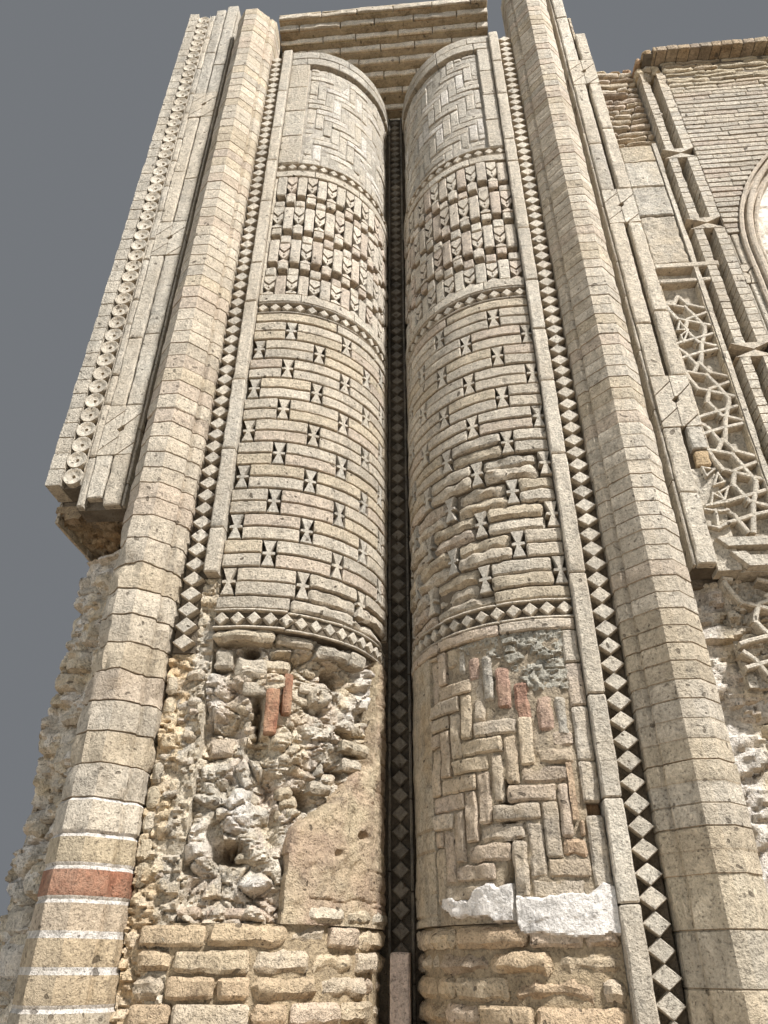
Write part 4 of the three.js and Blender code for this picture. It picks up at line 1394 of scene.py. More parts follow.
def remnant():
    """One fine grid that is level up to remnant_top and falls back behind the rubble beyond
    it. The joints are shallow cuts that fade in and out with a soft noise."""
    pile = Pile(on_shaft(-1), 107)

    def shape(s, z, p):
        course = (z - 1.702) / REMNANT_COURSE
        edge = remnant_top(s + 0.01 * noise(p, 0.05, 11)) - z + 0.012 * noise(p, 0.04, 12)
        inside = np.clip(edge / 0.022, 0, 1)
        shown = np.clip(0.55 - s / 0.28 + 0.9 * noise(p, 0.13, 13), 0, 1)
        flat_joint = np.exp(-((course - np.round(course)) / 0.045) ** 2)
        brick = (s + 0.45 * drawn(np.floor(course).astype(np.int64), 0, 0, 14)) / 0.17
        upright_joint = np.exp(-((brick - np.round(brick)) / 0.012) ** 2)
        scar = np.exp(-((z - 1.765 - 0.01 * noise(p, 0.05, 15)) / 0.004) ** 2) * (s < 0.44)
        d = -0.01 + 0.0065 * ragged(p, 0.06, 16) + 0.0036 * ragged(p, 0.02, 17)
        d = d - 0.012 * np.clip(noise(p, 0.045, 21) - 0.25, 0, 1)
        d = d - 0.007 * shown * np.maximum(flat_joint, upright_joint) - 0.006 * scar
        for at_s, at_z, wide, high, deep in REMNANT_HOLES:
            d = d - deep * bump_at(s, z, at_s, at_z, wide, high)
        return np.clip(d, -0.03, -0.001) - 0.14 * round_off(inside)

    def colour(s, z, p):
        rosy = np.clip(0.55 + 0.9 * ragged(p, 0.1, 18), 0, 1)[..., None]
        grain = (0.92 + 0.07 * noise(p, 0.012, 19) + 0.06 * ragged(p, 0.05, 20))[..., None]
        return (rosy * (0.55 * ROSE + 0.25 * OCHRE + 0.12 * RED) + (1 - rosy) * SAND) * grain

    sheet(pile, 0.0, 0.54, 1.7, 2.541, 0.0052, shape, -0.16, colour, "worn_block")
    course = coursed(0.0, 0.44, 1.702, 1.748, 0.046, 0.15, 0.008, 105, vary=0.6)
    tints = shades(course.shape[1], [SAND, CREAM, SAND], 106)
    lay(pile, *course, -0.002, -0.06, tints, "worn_block", across=7, up=4, soft=0.005, wear=0.007,
        rough=0.003)
    pile.make("left_facing_remnant", "left_shaft_remnant")


remnant()

# %% [markdown]
# ## The lower right panel
# The herringbone here is deeply worn: some bricks are red and stand like fingers under a patch
# of rough grey lime, the foot was smeared with white plaster, a crack runs down the middle,
# and a putlog hole is open in the border. The side toward the groove was patched smooth and
# is partly ochre.

# %% Worn herringbone with its patches
CRACK_Z, CRACK_S = [1.79, 1.85, 1.98, 2.1], [0.54, 0.566, 0.545, 0.56]
FINGER_S = [0.38, 0.4, 0.45, 0.5, 0.6, 0.66, 0.77]
FINGER_Z = [2.6, 2.42, 2.365, 2.29, 2.21, 2.18, 2.17]
UPRIGHTS = [(0.408, 0.44, 2.405, 2.492), (0.452, 0.488, 2.372, 2.448), (0.5, 0.537, 2.298, 2.445),
            (0.547, 0.592, 2.268, 2.398), (0.603, 0.648, 2.214, 2.344), (0.668, 0.712, 2.192, 2.292),
            (0.722, 0.756, 2.175, 2.29)]
GREY_PATCH_S = [0.39, 0.45, 0.5, 0.58, 0.61, 0.66, 0.77]
GREY_PATCH_Z = [2.492, 2.462, 2.45, 2.405, 2.36, 2.312, 2.3]
LEFT_SMEAR_TOP = [0.285, 0.4, 0.43, 0.47, 0.552], [1.778, 1.768, 1.792, 1.798, 1.79]
LEFT_SMEAR_FOOT = [0.285, 0.33, 0.45, 0.552], [1.742, 1.722, 1.708, 1.7]
RIGHT_SMEAR_TOP = [0.54, 0.58, 0.75, 0.79, 0.817], [1.772, 1.766, 1.768, 1.79, 1.784]
RIGHT_SMEAR_FOOT = [0.54, 0.62, 0.7, 0.817], [1.672, 1.668, 1.662, 1.668]


def crack(s, z):
    """How near a place is to the crack, from 0 to 1."""
    off = (s - np.interp(z, CRACK_Z, CRACK_S)) / 0.016
    return np.exp(-off ** 2) * (z < 2.06)


def reddened(share):
    """Rose with a share of red."""
    return share * RED + (1 - share) * ROSE


def patch_sheet(pile, s0, s1, z0, z1, step, inside, level, relief, seed, colour, finish):
    """A ragged patch: level with its relief where inside(s, z) is positive, falling back over
    1 cm where it is not, with an edge that noise has moved about."""
    def shape(s, z, p):
        edge = np.clip((inside(s, z) + 0.01 * ragged(p, 0.035, seed)) / 0.01, 0, 1)
        front = crag_shape(level, 0.05, relief, seed + 1)(s, z, p)
        return np.minimum(front, 0.004) - 0.055 * round_off(edge)
    sheet(pile, s0, s1, z0, z1, step, shape, -0.075, colour, finish)


def worn_bricks(pile, pick):
    """The flat and the upright bricks of the herringbone that are left below the fingers."""
    low_s, high_s, low_z, high_z, stands = herringbone(0.262, 0.766, 1.705, 2.502, 0.0485)
    middle_s, middle_z = (low_s + high_s) / 2, (low_z + high_z) / 2
    whole = middle_z < np.interp(middle_s, FINGER_S, FINGER_Z)
    whole = whole & (middle_z > 1.775) & (crack(middle_s, middle_z) < 0.45)
    for kind, across, up in ((0, 9, 7), (1, 7, 9)):
        own = (stands == kind) & whole
        a, b, c, d = low_s[own], high_s[own], low_z[own], high_z[own]
        b = np.where((b > 0.74) & (d > 1.955) & (c < 1.985), 0.735, b)
        count = len(a)
        mix = [0.9 * CREAM, SAND, ROSE, 0.9 * ROSE, 0.8 * SAND + 0.15 * RED]
        tints = shades(count, mix, 112 + kind, 0.09)
        warm = pick.random(count) < np.where((a > 0.66) & (c < 2.1), 0.6, 0.06)
        tints[warm] = 0.4 * RED + 0.6 * SAND
        wear = 0.0022 + 0.006 * pick.random(count) * np.clip(0.2 + (middle_s[own] - 0.3) * 4, 0.2, 1)
        gap = 0.0012 + 0.0034 * pick.random(count)
        top = -0.001 - 0.014 * pick.random(count) ** 3 - 0.5 * wear
        lay(pile, a + gap, b - gap, c + gap, d - gap, top, -0.06, tints, "worn_block", across=across, up=up,
            soft=0.002, wear=wear, rough=0.0045, seed=113 + kind)


def beside_groove(pile):
    """The smooth patch toward the groove: a long fine crack, joints that show below 2.05 m,
    and a yellow place."""
    def shape(s, z, p):
        off = s - 0.205 - 0.05 * np.sin(z * 9) - 0.02 * noise(p, 0.05, 9)
        d = -0.006 + 0.0035 * ragged(p, 0.09, 6) + 0.0012 * ragged(p, 0.02, 7)
        d = d - 0.007 * np.exp(-(off / 0.004) ** 2)
        course = z / 0.0575
        joint = np.exp(-((course - np.round(course)) / 0.05) ** 2)
        joint = joint * np.clip(0.4 + 1.2 * noise(p, 0.12, 8), 0, 1)
        return np.minimum(d - 0.007 * joint * np.clip((2.05 - z) / 0.06, 0, 1), -0.001)

    def colour(s, z, p):
        near = 0.36 - np.abs(s - 0.215) * 3.2 - np.abs(z - 2.235) * 1.2 + 0.22 * ragged(p, 0.07, 10)
        yellow = np.clip(2.5 * near, 0, 1)[..., None]
        plain = 0.5 * GREY + 0.5 * SAND
        grain = (0.9 + 0.1 * ragged(p, 0.1, 7) + 0.06 * noise(p, 0.012, 5))[..., None]
        return (yellow * (0.75 * OCHRE + 0.25 * SAND) + (1 - yellow) * plain) * grain

    sheet(pile, 0.0, 0.264, 1.702, 2.502, 0.0075, shape, -0.06, colour, "worn_block")


def lower_panel():
    """Herringbone, the upright fingers, the grey patch, the plaster, the side of the groove,
    the plain course over it all and the upright border."""
    pile = Pile(on_shaft(1), 111)
    pick = np.random.default_rng(111)

    def mortar(s, z, p):
        return -0.0165 + 0.0045 * ragged(p, 0.04, 3) - 0.05 * crack(s, z)

    bed(pile, 0, PANEL_WIDE, 1.7, 2.542, 0.048, step=0.03, tint=0.4 * SAND + 0.6 * DUST)
    sheet(pile, 0.255, 0.775, 1.702, 2.5, 0.012, mortar, -0.09, 0.45 * SAND + 0.2 * ROSE, "worn_block")
    worn_bricks(pile, pick)
    tints = [GREY, reddened(0.35), 0.9 * GREY, reddened(0.55), reddened(0.7), reddened(0.35), 0.85 * GREY]
    lay(pile, *np.array(UPRIGHTS).T, -0.004 - 0.008 * pick.random(7), -0.06, tints, "worn_block",
        across=4, up=12, wear=0.0052, rough=0.003, seed=120)

    def grey(s, z, p):
        grain = 0.9 + 0.08 * noise(p, 0.012, 5) + 0.07 * ragged(p, 0.05, 6)
        return GREY * (0.95, 0.97, 0.95) * grain[..., None]

    def above(s, z):
        return z - np.interp(s, GREY_PATCH_S, GREY_PATCH_Z)

    patch_sheet(pile, 0.39, 0.775, 2.27, 2.505, 0.0055, above, -0.012, 0.02, 131, grey, "rubble")
    beside_groove(pile)
    row(pile, (0, PANEL_WIDE), (2.505, 2.541), (0.26, 0.004, 0.3), pick, [CREAM, CREAM, ROSE], "worn_block",
        -0.001, 0.002, -0.05, shade=114, across=10, up=2, soft=0.003, wear=0.0025, seed=115)
    low = np.array([1.78, 1.99, 2.1, 2.259, 2.395])
    high = np.array([1.955, 2.098, 2.256, 2.392, 2.502])
    tints = shades(5, [CREAM, GREY, ROSE], 116)
    lay(pile, 0.77, PANEL_WIDE - 0.001, low, high, -0.001 - 0.003 * pick.random(5), -0.05, tints,
        "worn_block", up=9, soft=0.003, wear=0.0032, seed=117)
    lay(pile, 0.737, PANEL_WIDE - 0.002, 1.952, 1.992, -0.04, -0.1, 0.5 * OCHRE + 0.2 * RED, "worn_block",
        across=4, up=2, soft=0.003, wear=0.002, seed=118)

    def white(s, z, p):
        return WHITE * (0.96 + 0.05 * ragged(p, 0.05, 21))[..., None]

    def left_smear(s, z):
        between = np.minimum(np.interp(s, *LEFT_SMEAR_TOP) - z, z - np.interp(s, *LEFT_SMEAR_FOOT))
        return np.minimum(np.minimum(s - 0.288, 0.548 - s), between)

    def right_smear(s, z):
        between = np.minimum(np.interp(s, *RIGHT_SMEAR_TOP) - z, z - np.interp(s, *RIGHT_SMEAR_FOOT))
        return np.minimum(s - 0.553, between)

    patch_sheet(pile, 0.27, 0.562, 1.69, 1.812, 0.0045, left_smear, 0.0, 0.005, 141, white, "plaster")
    patch_sheet(pile, 0.546, PANEL_WIDE - 0.001, 1.65, 1.8, 0.0045, right_smear, 0.001, 0.004, 151, white,
                "plaster")
    pile.make("right_worn_herringbone", "right_shaft_lower_panel")


lower_panel()

# %% [markdown]
# ## The groove between the shafts
# A chain of lozenges runs up the back of the groove, nearly lost in shade, with its ground and
# stones painted dark as painted shade, and a pale post stands at its foot.


# %% Groove chain and post
def groove():
    """A sunk ground with lozenges in dark tints of painted shade, and one dressed block."""
    pile = Pile(on_facade(1, 0.448), 122)
    # Ground, lozenges and lips get a quarter to a third of the usual lightness: painted shade of the deep
    # groove.
    bed(pile, -0.042, 0.042, 0.0, SHAFT_TOP, 0.016, foot=-0.03, step=0.1, tint=0.3 * DUST)
    z = np.arange(0.03, 6.27, 0.0575)
    tints = shades(len(z), [0.32 * CREAM, 0.25 * GREY], 121)
    cut(pile, 0 * z, z, lozenge(0.06, 0.0565), -0.001, -0.02, tints, bevel=0.005)
    pick = np.random.default_rng(122)
    for low, high in ((-0.0415, -0.0325), (0.0325, 0.0415)):
        start, end = rows_of(0.0, SHAFT_TOP, 0.25, 0.003, 0.3, pick, 0.4)
        lay(pile, low, high, start, end, -0.001, -0.02, 0.26 * GREY, "moulding", across=0, up=8, soft=0.002,
            wear=0.001)
    pile.make("groove_lozenges", "groove_diamond_strip")
    pile = Pile(on_facade(1, 0.368), 123)
    lay(pile, -0.0295, 0.0295, 0.001, 1.64, -0.0005, -0.08, paint(0.8, 0.73, 0.68), "stucco",
        across=4, up=60, wear=0.001)
    pile.make("groove_post", "groove_foot_post")


groove()

# %% [markdown]
# ## Where the trims and the left wing are lost
# Beside the left shaft an ochre bed of mortar is left where the fillet was, and the left wing
# is broken off below 3 m, down to pale rubble that falls back at a slant.

# %% Ochre bed and slanted rubble
BROKEN_WING = [(-1.325, 0.45), (-1.12, 0.33), (-1.0, 0.18), (-0.9525, 0.15)]


def on_path(corners):
    """A face that follows an outline on the ground: s is the distance along it, and depth is
    measured along normals that turn smoothly from one side to the next."""
    corners = np.asarray(corners, float)
    normal = outline_normals(corners)
    run = np.concatenate([[0], np.cumsum(np.linalg.norm(np.diff(corners, axis=0), axis=1))])

    def place(s, z, d):
        s, z, d = np.broadcast_arrays(s, z, d)
        x, y, nx, ny = (np.interp(s, run, v) for v in (*corners.T, *normal.T))
        return np.stack([np.maximum(x + nx * d, LEFT_END + 0.0005), y + ny * d, z], -1)
    return place, run[-1]


def lost_edges():
    """The bed beside the shaft, in two steps of height, then the broken wing."""
    pile = Pile(on_facade(-1), 135)
    ochre = crag_colour(132, (SAND, 0.5 * OCHRE + 0.6 * SAND, 0.6 * OCHRE + 0.5 * SAND, SAND, CREAM), -0.14)
    pale = crag_colour(134, (CREAM, SAND, GREY, CREAM))
    lumpy = crag_shape(-0.036, 0.055, 0.026, 131)

    def bumpy(s, z, p):
        return np.minimum(lumpy(s, z, p) + 0.0018 * ragged(p, 0.016, 4), -0.003)

    sheet(pile, 0.587, 0.645, 0.0, 2.738, 0.0068, bumpy, -0.12, pale, "rubble")
    sheet(pile, 0.64, 0.719, 0.0, 2.468, 0.0068, bumpy, -0.12, ochre, "rubble")
    pick = np.random.default_rng(133)
    low = 1.72 + 0.068 * np.arange(11)
    low = low[pick.random(11) < 0.7]
    top = -0.01 - 0.014 * pick.random(len(low))
    lay(pile, 0.685, 0.7185, low, low + 0.06, top, -0.08, shades(len(low), [CREAM, SAND], 134), "worn_block",
        across=4, up=5, wear=0.008, rough=0.003)
    loose_stones(pile, 26, (0.6, 0.7), (1.75, 2.44), -0.026, 136, size=(0.025, 0.06))
    pile.make("left_mortar_bed", "left_lost_edging")

    place, run = on_path([(x, FACADE_Y + y) for x, y in BROKEN_WING])
    pile = Pile(place, 137)
    pale = crag_colour(138, (CREAM, GREY, 0.95 * WHITE, SAND, CREAM), -0.09)
    crag = crag_shape(-0.012, 0.125, 0.06, 137)

    def slanted(s, z, p):
        return np.minimum(crag(s, z, p) + 0.03 * np.clip((z - 2.5) / 0.4, 0, 1), 0.045)

    sheet(pile, 0.0, run, 0.0, 3.048, 0.0092, slanted, -0.1, pale, "rubble")
    loose_stones(pile, 70, (0.02, run - 0.01), (0.05, 3.0), 0.004, 139, size=(0.05, 0.15),
                 colours=(WHITE, CREAM, GREY, SAND))
    pile.make("left_broken_wing", "left_rubble_core")


lost_edges()

# %% [markdown]
# ## The right wing
# Beside the right roll the facade runs on as a flat wall with its own layers: broken brick
# courses at the top, four large plain blocks, a framed lattice of plaster, three upright
# bars, a wall of thin bricks and the edge of an arch.


# %% Broken courses and plain blocks
def plain_wing(seed):
    """Courses eaten back by weather, so that each stands out as a thin ledge over a deep dark
    gap, above four large blocks with fine joints."""
    pile = Pile(on_facade(), seed)
    bed(pile, 1.148, 1.363, 5.07, 5.88, 0.092, foot=-0.148, tint=0.45 * DUST)
    pick = np.random.default_rng(seed)
    s0, s1, _, z1 = coursed(1.15, 1.361, 5.073, 5.85, 0.0518, 0.13, 0.005, seed, vary=0.7)
    count = len(s0)
    up = 0.35 + 0.4 * pick.random(count)
    top = -0.043 - 0.01 * pick.random(count)
    wear = 0.003 + 0.006 * pick.random(count)
    lay(pile, s0, s1, z1 - 0.04 * up - 0.01, z1 - 0.004, top, -0.145,
        shades(count, [CREAM, PALE, ROSE, SAND], seed, 0.08), "worn_block", across=7, up=3, wear=wear,
        rough=0.004)
    tints = [SAND, 0.7 * OCHRE, 0.45 * OCHRE + 0.45 * RED]
    lay(pile, [1.15, 1.225, 1.31], [1.218, 1.304, 1.358], 5.846, 5.882, [-0.046, -0.056, -0.043], -0.14,
        tints, "worn_block", across=7, up=4, soft=0.006, wear=0.008, rough=0.004)
    pile.make("right_broken_bricks", "right_broken_courses")
    pile = Pile(pile.place, seed + 1)
    low, high = np.array([4.182, 4.512, 4.732, 4.932]), np.array([4.509, 4.729, 4.929, 5.068])
    tints = [0.9 * CREAM, 0.48 * PALE + 0.46 * GREY, 0.94 * PALE, 0.47 * CREAM + 0.47 * SAND]
    lay(pile, 1.1485, 1.3055, low, high, [-0.01, -0.006, -0.005, -0.008], -0.146, tints, "worn_block",
        across=22, up=30, wear=[0.0042, 0.0026, 0.0018, 0.0022], rough=0.003)
    pile.make("right_dressed_blocks", "right_plain_blocks")


plain_wing(141)

# %% [markdown]
# The lattice is a star pattern: thin ribs, rounded at the top, that cross over a rough light
# ground. Its frame has two beams at the head and a sill with slanted ends.

# %% Ribs of the star lattice and their frame
LATTICE_LINES = [
    [(0.0, 0.004), (0.09, 0.0), (0.49, -0.02), (0.62, -0.065), (0.82, -0.14), (0.79, -0.165),
     (0.6, -0.236), (0.43, -0.339)],
    [(0.0, -0.01), (0.05, -0.038), (0.17, -0.083), (0.43, -0.1), (1.0, -0.134)],
    [(0.46, -0.09), (1.0, -0.058)],
    [(0.42, -0.098), (0.3, -0.15), (0.53, -0.22), (1.0, -0.25)],
    [(0.0, -0.224), (0.1, -0.218), (1.0, -0.178)],
    [(0.0, -0.302), (0.5, -0.278), (1.0, -0.262)],
    [(0.0, -0.255), (0.13, -0.278), (0.29, -0.338)],
    [(0.41, -0.339), (0.57, -0.384), (1.0, -0.412)],
    [(0.36, -0.336), (0.22, -0.374)],
]
LATTICE_PERIOD = 0.379
BARE_RIBS = [(1.081, 2.926, 1.127, 2.918), (1.127, 2.918, 1.152, 2.92), (1.079, 2.86, 1.109, 2.853),
             (1.109, 2.853, 1.152, 2.873), (1.089, 2.942, 1.152, 2.951), (1.106, 2.853, 1.112, 2.92)]
TRIANGLES = [[(1.109, 3.101), (1.147, 3.091), (1.116, 3.065)],
             [(1.156, 3.074), (1.168, 3.037), (1.133, 3.026)],
             [(1.177, 3.014), (1.152, 2.962), (1.14, 2.993)],
             [(1.119, 2.99), (1.152, 2.961), (1.103, 2.945)],
             [(1.184, 3.829), (1.204, 3.779), (1.167, 3.783)],
             [(1.206, 3.779), (1.174, 3.752), (1.176, 3.713)]]
UPPER_SILL = [(-0.2, 0.016), (-0.168, -0.016), (0.15, -0.016), (0.15, 0.016)]
LOWER_SILL = [(-0.165, 0.027), (-0.12, -0.027), (0.15, -0.027),
              (0.15, 0.012), (-0.108, 0.012), (-0.12, 0.027)]
RIB_SIDES = 6


def ribs(pile, starts, ends, wide, top, foot, tint):
    """Straight ribs with sloping sides. Each cross section has six corners, set at right
    angles to the rib, and the ends run on by half the width so that ribs meet."""
    starts, ends = np.asarray(starts, float), np.asarray(ends, float)
    step = ends - starts
    step = step / np.linalg.norm(step, axis=1, keepdims=True)
    starts, ends = starts - step * wide * 0.5, ends + step * wide * 0.5
    square = np.stack([-step[:, 1], step[:, 0]], 1)
    out = np.array([-0.6, -0.5, -0.25, 0.25, 0.5, 0.6])
    depth = np.array([foot, top - 0.004, top, top, top - 0.004, foot])
    rings = []
    for share in (0.0, 1 / 3, 2 / 3, 1.0):
        at = starts * (1 - share) + ends * share
        flat = at[:, None] + square[:, None] * (out * wide)[None, :, None]
        d = depth + 0 * flat[..., 0]
        worn = 0.0009 * noise(pile.place(flat[..., 0], flat[..., 1], d), 0.02, 5)
        rings.append(pile.place(flat[..., 0] + worn, flat[..., 1] + worn, d + worn))
    pile.add(np.concatenate(rings, 1), ring_faces(len(rings), RIB_SIDES), tint, "stucco")


def lattice_segments(s0, s1, z0, z1, first):
    """The lines of one period, whose corners are a share of the width and a height above the
    line's start, repeated downward from the height first and cut to the opening."""
    starts = np.array([p for line in LATTICE_LINES for p in line[:-1]])
    ends = np.array([p for line in LATTICE_LINES for p in line[1:]])
    repeat = np.arange(-1, int((first - z0) / LATTICE_PERIOD) + 2)
    base = np.stack([0 * repeat + s0, first - LATTICE_PERIOD * repeat], 1)[:, None]
    a, b = ((base + v * (s1 - s0, 1)).reshape(-1, 2) for v in (starts, ends))
    keep = (np.minimum(a[:, 1], b[:, 1]) > z0 + 0.003) & (np.maximum(a[:, 1], b[:, 1]) < z1 - 0.003)
    return a[keep], b[keep]


def level_ground(level, relief, seed):
    """A depth function for rough plaster at one level."""
    return lambda s, z, p: level + relief * ragged(p, 0.03, seed)


def upper_lattice(seed):
    """The lattice in its opening, with bare ribs and small triangles where the band beside it
    is lost."""
    pile = Pile(on_facade(), seed)

    def light(s, z, p):
        return (0.5 * PALE + 0.5 * CREAM) * (0.98 + 0.1 * ragged(p, 0.05, seed))[..., None]

    sheet(pile, 1.148, 1.306, 2.7, 4.18, 0.008, level_ground(-0.047, 0.005, seed), -0.148, light, "rubble")
    a, b = lattice_segments(1.152, 1.304, 2.815, 4.03, 3.934)
    ribs(pile, a, b, 0.0165, -0.01, -0.06, shades(len(a), [PALE, CREAM], seed, 0.03))
    sheet(pile, 1.074, 1.15, 2.7, 3.108, 0.008, level_ground(-0.025, 0.004, seed), -0.09, light, "rubble")
    bare, corners = np.array(BARE_RIBS), np.array(TRIANGLES)
    ribs(pile, bare[:, :2], bare[:, 2:], 0.0115, -0.006, -0.05, 1.03 * PALE)
    following = np.roll(corners, 1, 1)
    ribs(pile, corners.reshape(-1, 2), following.reshape(-1, 2), 0.0085, -0.007, -0.05, 1.03 * PALE)
    lay(pile, 1.098, 1.147, 3.11, 3.177, -0.009, -0.1, 0.6 * OCHRE + 0.4 * SAND, "worn_block",
        across=5, up=6, soft=0.003, wear=0.004)
    pile.make("upper_star_lattice", "upper_lattice_panel")


def lattice_frame(pick, seed):
    """Two beams at the head, an upright on each side and a sill in two pieces."""
    pile = Pile(on_facade(), seed)
    mix = [CREAM, PALE, CREAM, SAND]
    bed(pile, 1.148, 1.306, 4.05, 4.18, 0.055, foot=-0.148, tint=0.5 * OCHRE + 0.2 * SAND)
    bed(pile, 1.148, 1.43, 2.702, 2.812, 0.05, foot=-0.148, tint=0.6 * SAND + 0.2 * OCHRE)
    lay(pile, [1.1485, 1.1485], [1.416, 1.39], [4.146, 4.058], [4.178, 4.084], [-0.001, -0.006], -0.1,
        shades(2, mix, seed + 1), "moulding", across=16, up=2, soft=0.003, wear=0.0016)
    for low, high, foot, top in ((1.1485, 1.1545, 3.18, -0.01), (1.301, 1.3055, 2.812, -0.006)):
        row(pile, (foot, 4.05), (low, high), (0.22, 0.003, 0.4), pick, mix, "moulding", top, 0.002,
            -0.064, 0.3, upright=True, shade=seed + int(low * 100), across=1, up=12, soft=0.0016, wear=0.001)
    for z, outline, top, shade in ((2.794, UPPER_SILL, -0.001, 8), (2.729, LOWER_SILL, -0.0005, 9)):
        cut(pile, 1.285, z, np.array(outline), top, -0.1, shades(1, [PALE], shade), "moulding", bevel=0.002)
    pile.make("lattice_surround", "lattice_frame")


def lower_lattice(pick, seed):
    """The broken lattice below the sill, with some of its ribs lost."""
    pile = Pile(on_facade(), seed)
    crag = crag_shape(-0.108, 0.06, 0.03, seed)
    sheet(pile, 1.1, 1.306, 2.33, 2.698, 0.007, lambda s, z, p: np.minimum(crag(s, z, p), -0.093), -0.135,
          crag_colour(seed, (CREAM, GREY, CREAM, PALE)), "rubble")
    a, b = lattice_segments(1.105, 1.3, 2.335, 2.7, 2.69)
    keep = pick.random(len(a)) > 0.12
    ribs(pile, a[keep], b[keep], 0.016, -0.068, -0.13, shades(keep.sum(), [PALE, CREAM], seed, 0.03))
    pile.make("lower_broken_lattice", "lower_lattice_panel")


LATTICE_SEED = 151
lattice_pick = np.random.default_rng(LATTICE_SEED)
upper_lattice(LATTICE_SEED)
lattice_frame(lattice_pick, LATTICE_SEED)
lower_lattice(lattice_pick, LATTICE_SEED)

# %% [markdown]
# Upright bars stand between the lattice and the brick wall: a thin smooth stile, which ends at
# the broken courses, and two bars that show the thin courses they are built of. These two are
# tied by small crossings: the bars stop short of one another, and what is left between them
# is a dark bow-tie lying on its side.

# %% Bars and crossings
CROSSINGS = (3.085, 3.646, 4.43, 4.972)
CROSSING_HALF = 0.034
CROSSING_X = 1.426
WEDGE = [(-0.08, 0.037), (-0.008, 0.007), (-0.002, 0.0035), (0.004, 0.0035), (0.012, 0.008), (0.069, 0.037)]


def bars(seed):
    """Each bar is an outline carried up in courses of 4 cm from one crossing to the next; the
    channels between them are coursed too, and sunk by 6 and 9 cm."""
    pile = Pile(on_facade(), seed)
    pick = np.random.default_rng(seed)
    stops = [2.7, *(z + turn * CROSSING_HALF for z in CROSSINGS for turn in (-1, 1)), 5.74]
    pieces = [(1.3062, 1.328, 2.7, 5.068, 0.24)]
    for low, high in ((1.363, 1.403), (1.449, 1.4958)):
        pieces += [(low, high, z0, z1, 0.04) for z0, z1 in zip(stops[0::2], stops[1::2])]
    for low, high, z0, z1, course in pieces:
        edges = np.linspace(z0, z1, round((z1 - z0) / course) + 1)
        path = facade_outline([(low, 0.148), (low, 0.0015), (high, 0.0015), (high, 0.148)], 0.018)
        gone = np.clip((edges[:-1] - 5.45) / 0.3, 0, 1)
        wear = 0.0008 + 0.011 * gone + 0.0016 * pick.random(len(edges) - 1)
        tints = shades(len(edges) - 1, [CREAM, PALE, CREAM, GREY], int(1000 * (low + z0)), 0.04)
        tints = tints * (1 - 0.25 * gone[:, None] * (0.3, 0.6, 1.0))
        inset = 0.0004 if course > 0.1 else 0.0042
        carry_up(pile, path, edges, 0.0025, inset, wear, tints, "moulding")
    for low, high, depth, top in ((1.328, 1.363, -0.062, 5.068), (1.403, 1.449, -0.092, 5.836)):
        courses = coursed(low - 0.004, high + 0.004, 2.7, top, 0.04, 0.2, 0.004, seed)
        tints = shades(courses.shape[1], [0.85 * SAND, 0.85 * CREAM], seed)
        lay(pile, *courses, depth, -0.148, tints, "worn_block", across=2, up=1, soft=0.003, wear=0.0015)
        bed(pile, low - 0.002, high + 0.002, 2.7, top, 0.006 - depth, foot=-0.148, step=0.05, tint=0.7 * DUST)
    for z in CROSSINGS:
        for turn in (-1, 1):
            tint = shades(1, [PALE, CREAM], seed + int(z * 10))
            wedge = np.array(WEDGE) * (1, turn)
            cut(pile, CROSSING_X, z, wedge, -0.0015, -0.09, tint, "moulding", bevel=0.002)
    lay(pile, [1.368, 1.352, 1.4, 1.448, 1.405], [1.41, 1.404, 1.452, 1.494, 1.47],
        [5.318, 5.738, 5.728, 5.745, 5.79], [5.332, 5.8, 5.795, 5.825, 5.836],
        [-0.0005, -0.012, -0.03, -0.006, -0.02], -0.14, [WHITE, SAND, CREAM, SAND, CREAM], "worn_block",
        across=5, up=5, wear=[0.001, 0.012, 0.012, 0.012, 0.01], rough=0.004)
    pile.make("right_three_bars", "triple_bar_moulding")


bars(161)

# %% [markdown]
# ## Thin bricks round the arch
# The wall courses stop at the arch: each course ends where the circle is at that height. The
# ring itself is a profile with three lips, carried up the jamb and round the circle, and the
# field inside it is plastered.

# %% Brick wall, arch ring and infill
ARCH_X, ARCH_Z = 2.58, 4.2
WING_FOOT = 2.7
WALL_INNER, WALL_TOP = -0.148, 5.838
RING_PROFILE = [(1.0395, -0.148), (1.0395, 0.012), (1.03, 0.016), (1.022, 0.012), (1.02, -0.008),
                (1.012, -0.01), (1.01, 0.018), (1.003, 0.0235), (0.992, 0.0235), (0.985, 0.018),
                (0.983, -0.016), (0.975, -0.018), (0.973, -0.002), (0.965, 0.002), (0.956, -0.002),
                (0.9505, -0.02), (0.9505, -0.148)]


def arch_side(radius, z):
    """Where a circle of this radius stands at height z: straight below the springing, on the
    circle above it, and beyond the end of the wall over the crown."""
    rise = np.maximum(np.asarray(z, float) - ARCH_Z, 0)
    return np.where(rise < radius, ARCH_X - np.sqrt(np.maximum(radius ** 2 - rise ** 2, 0)), 9.0)


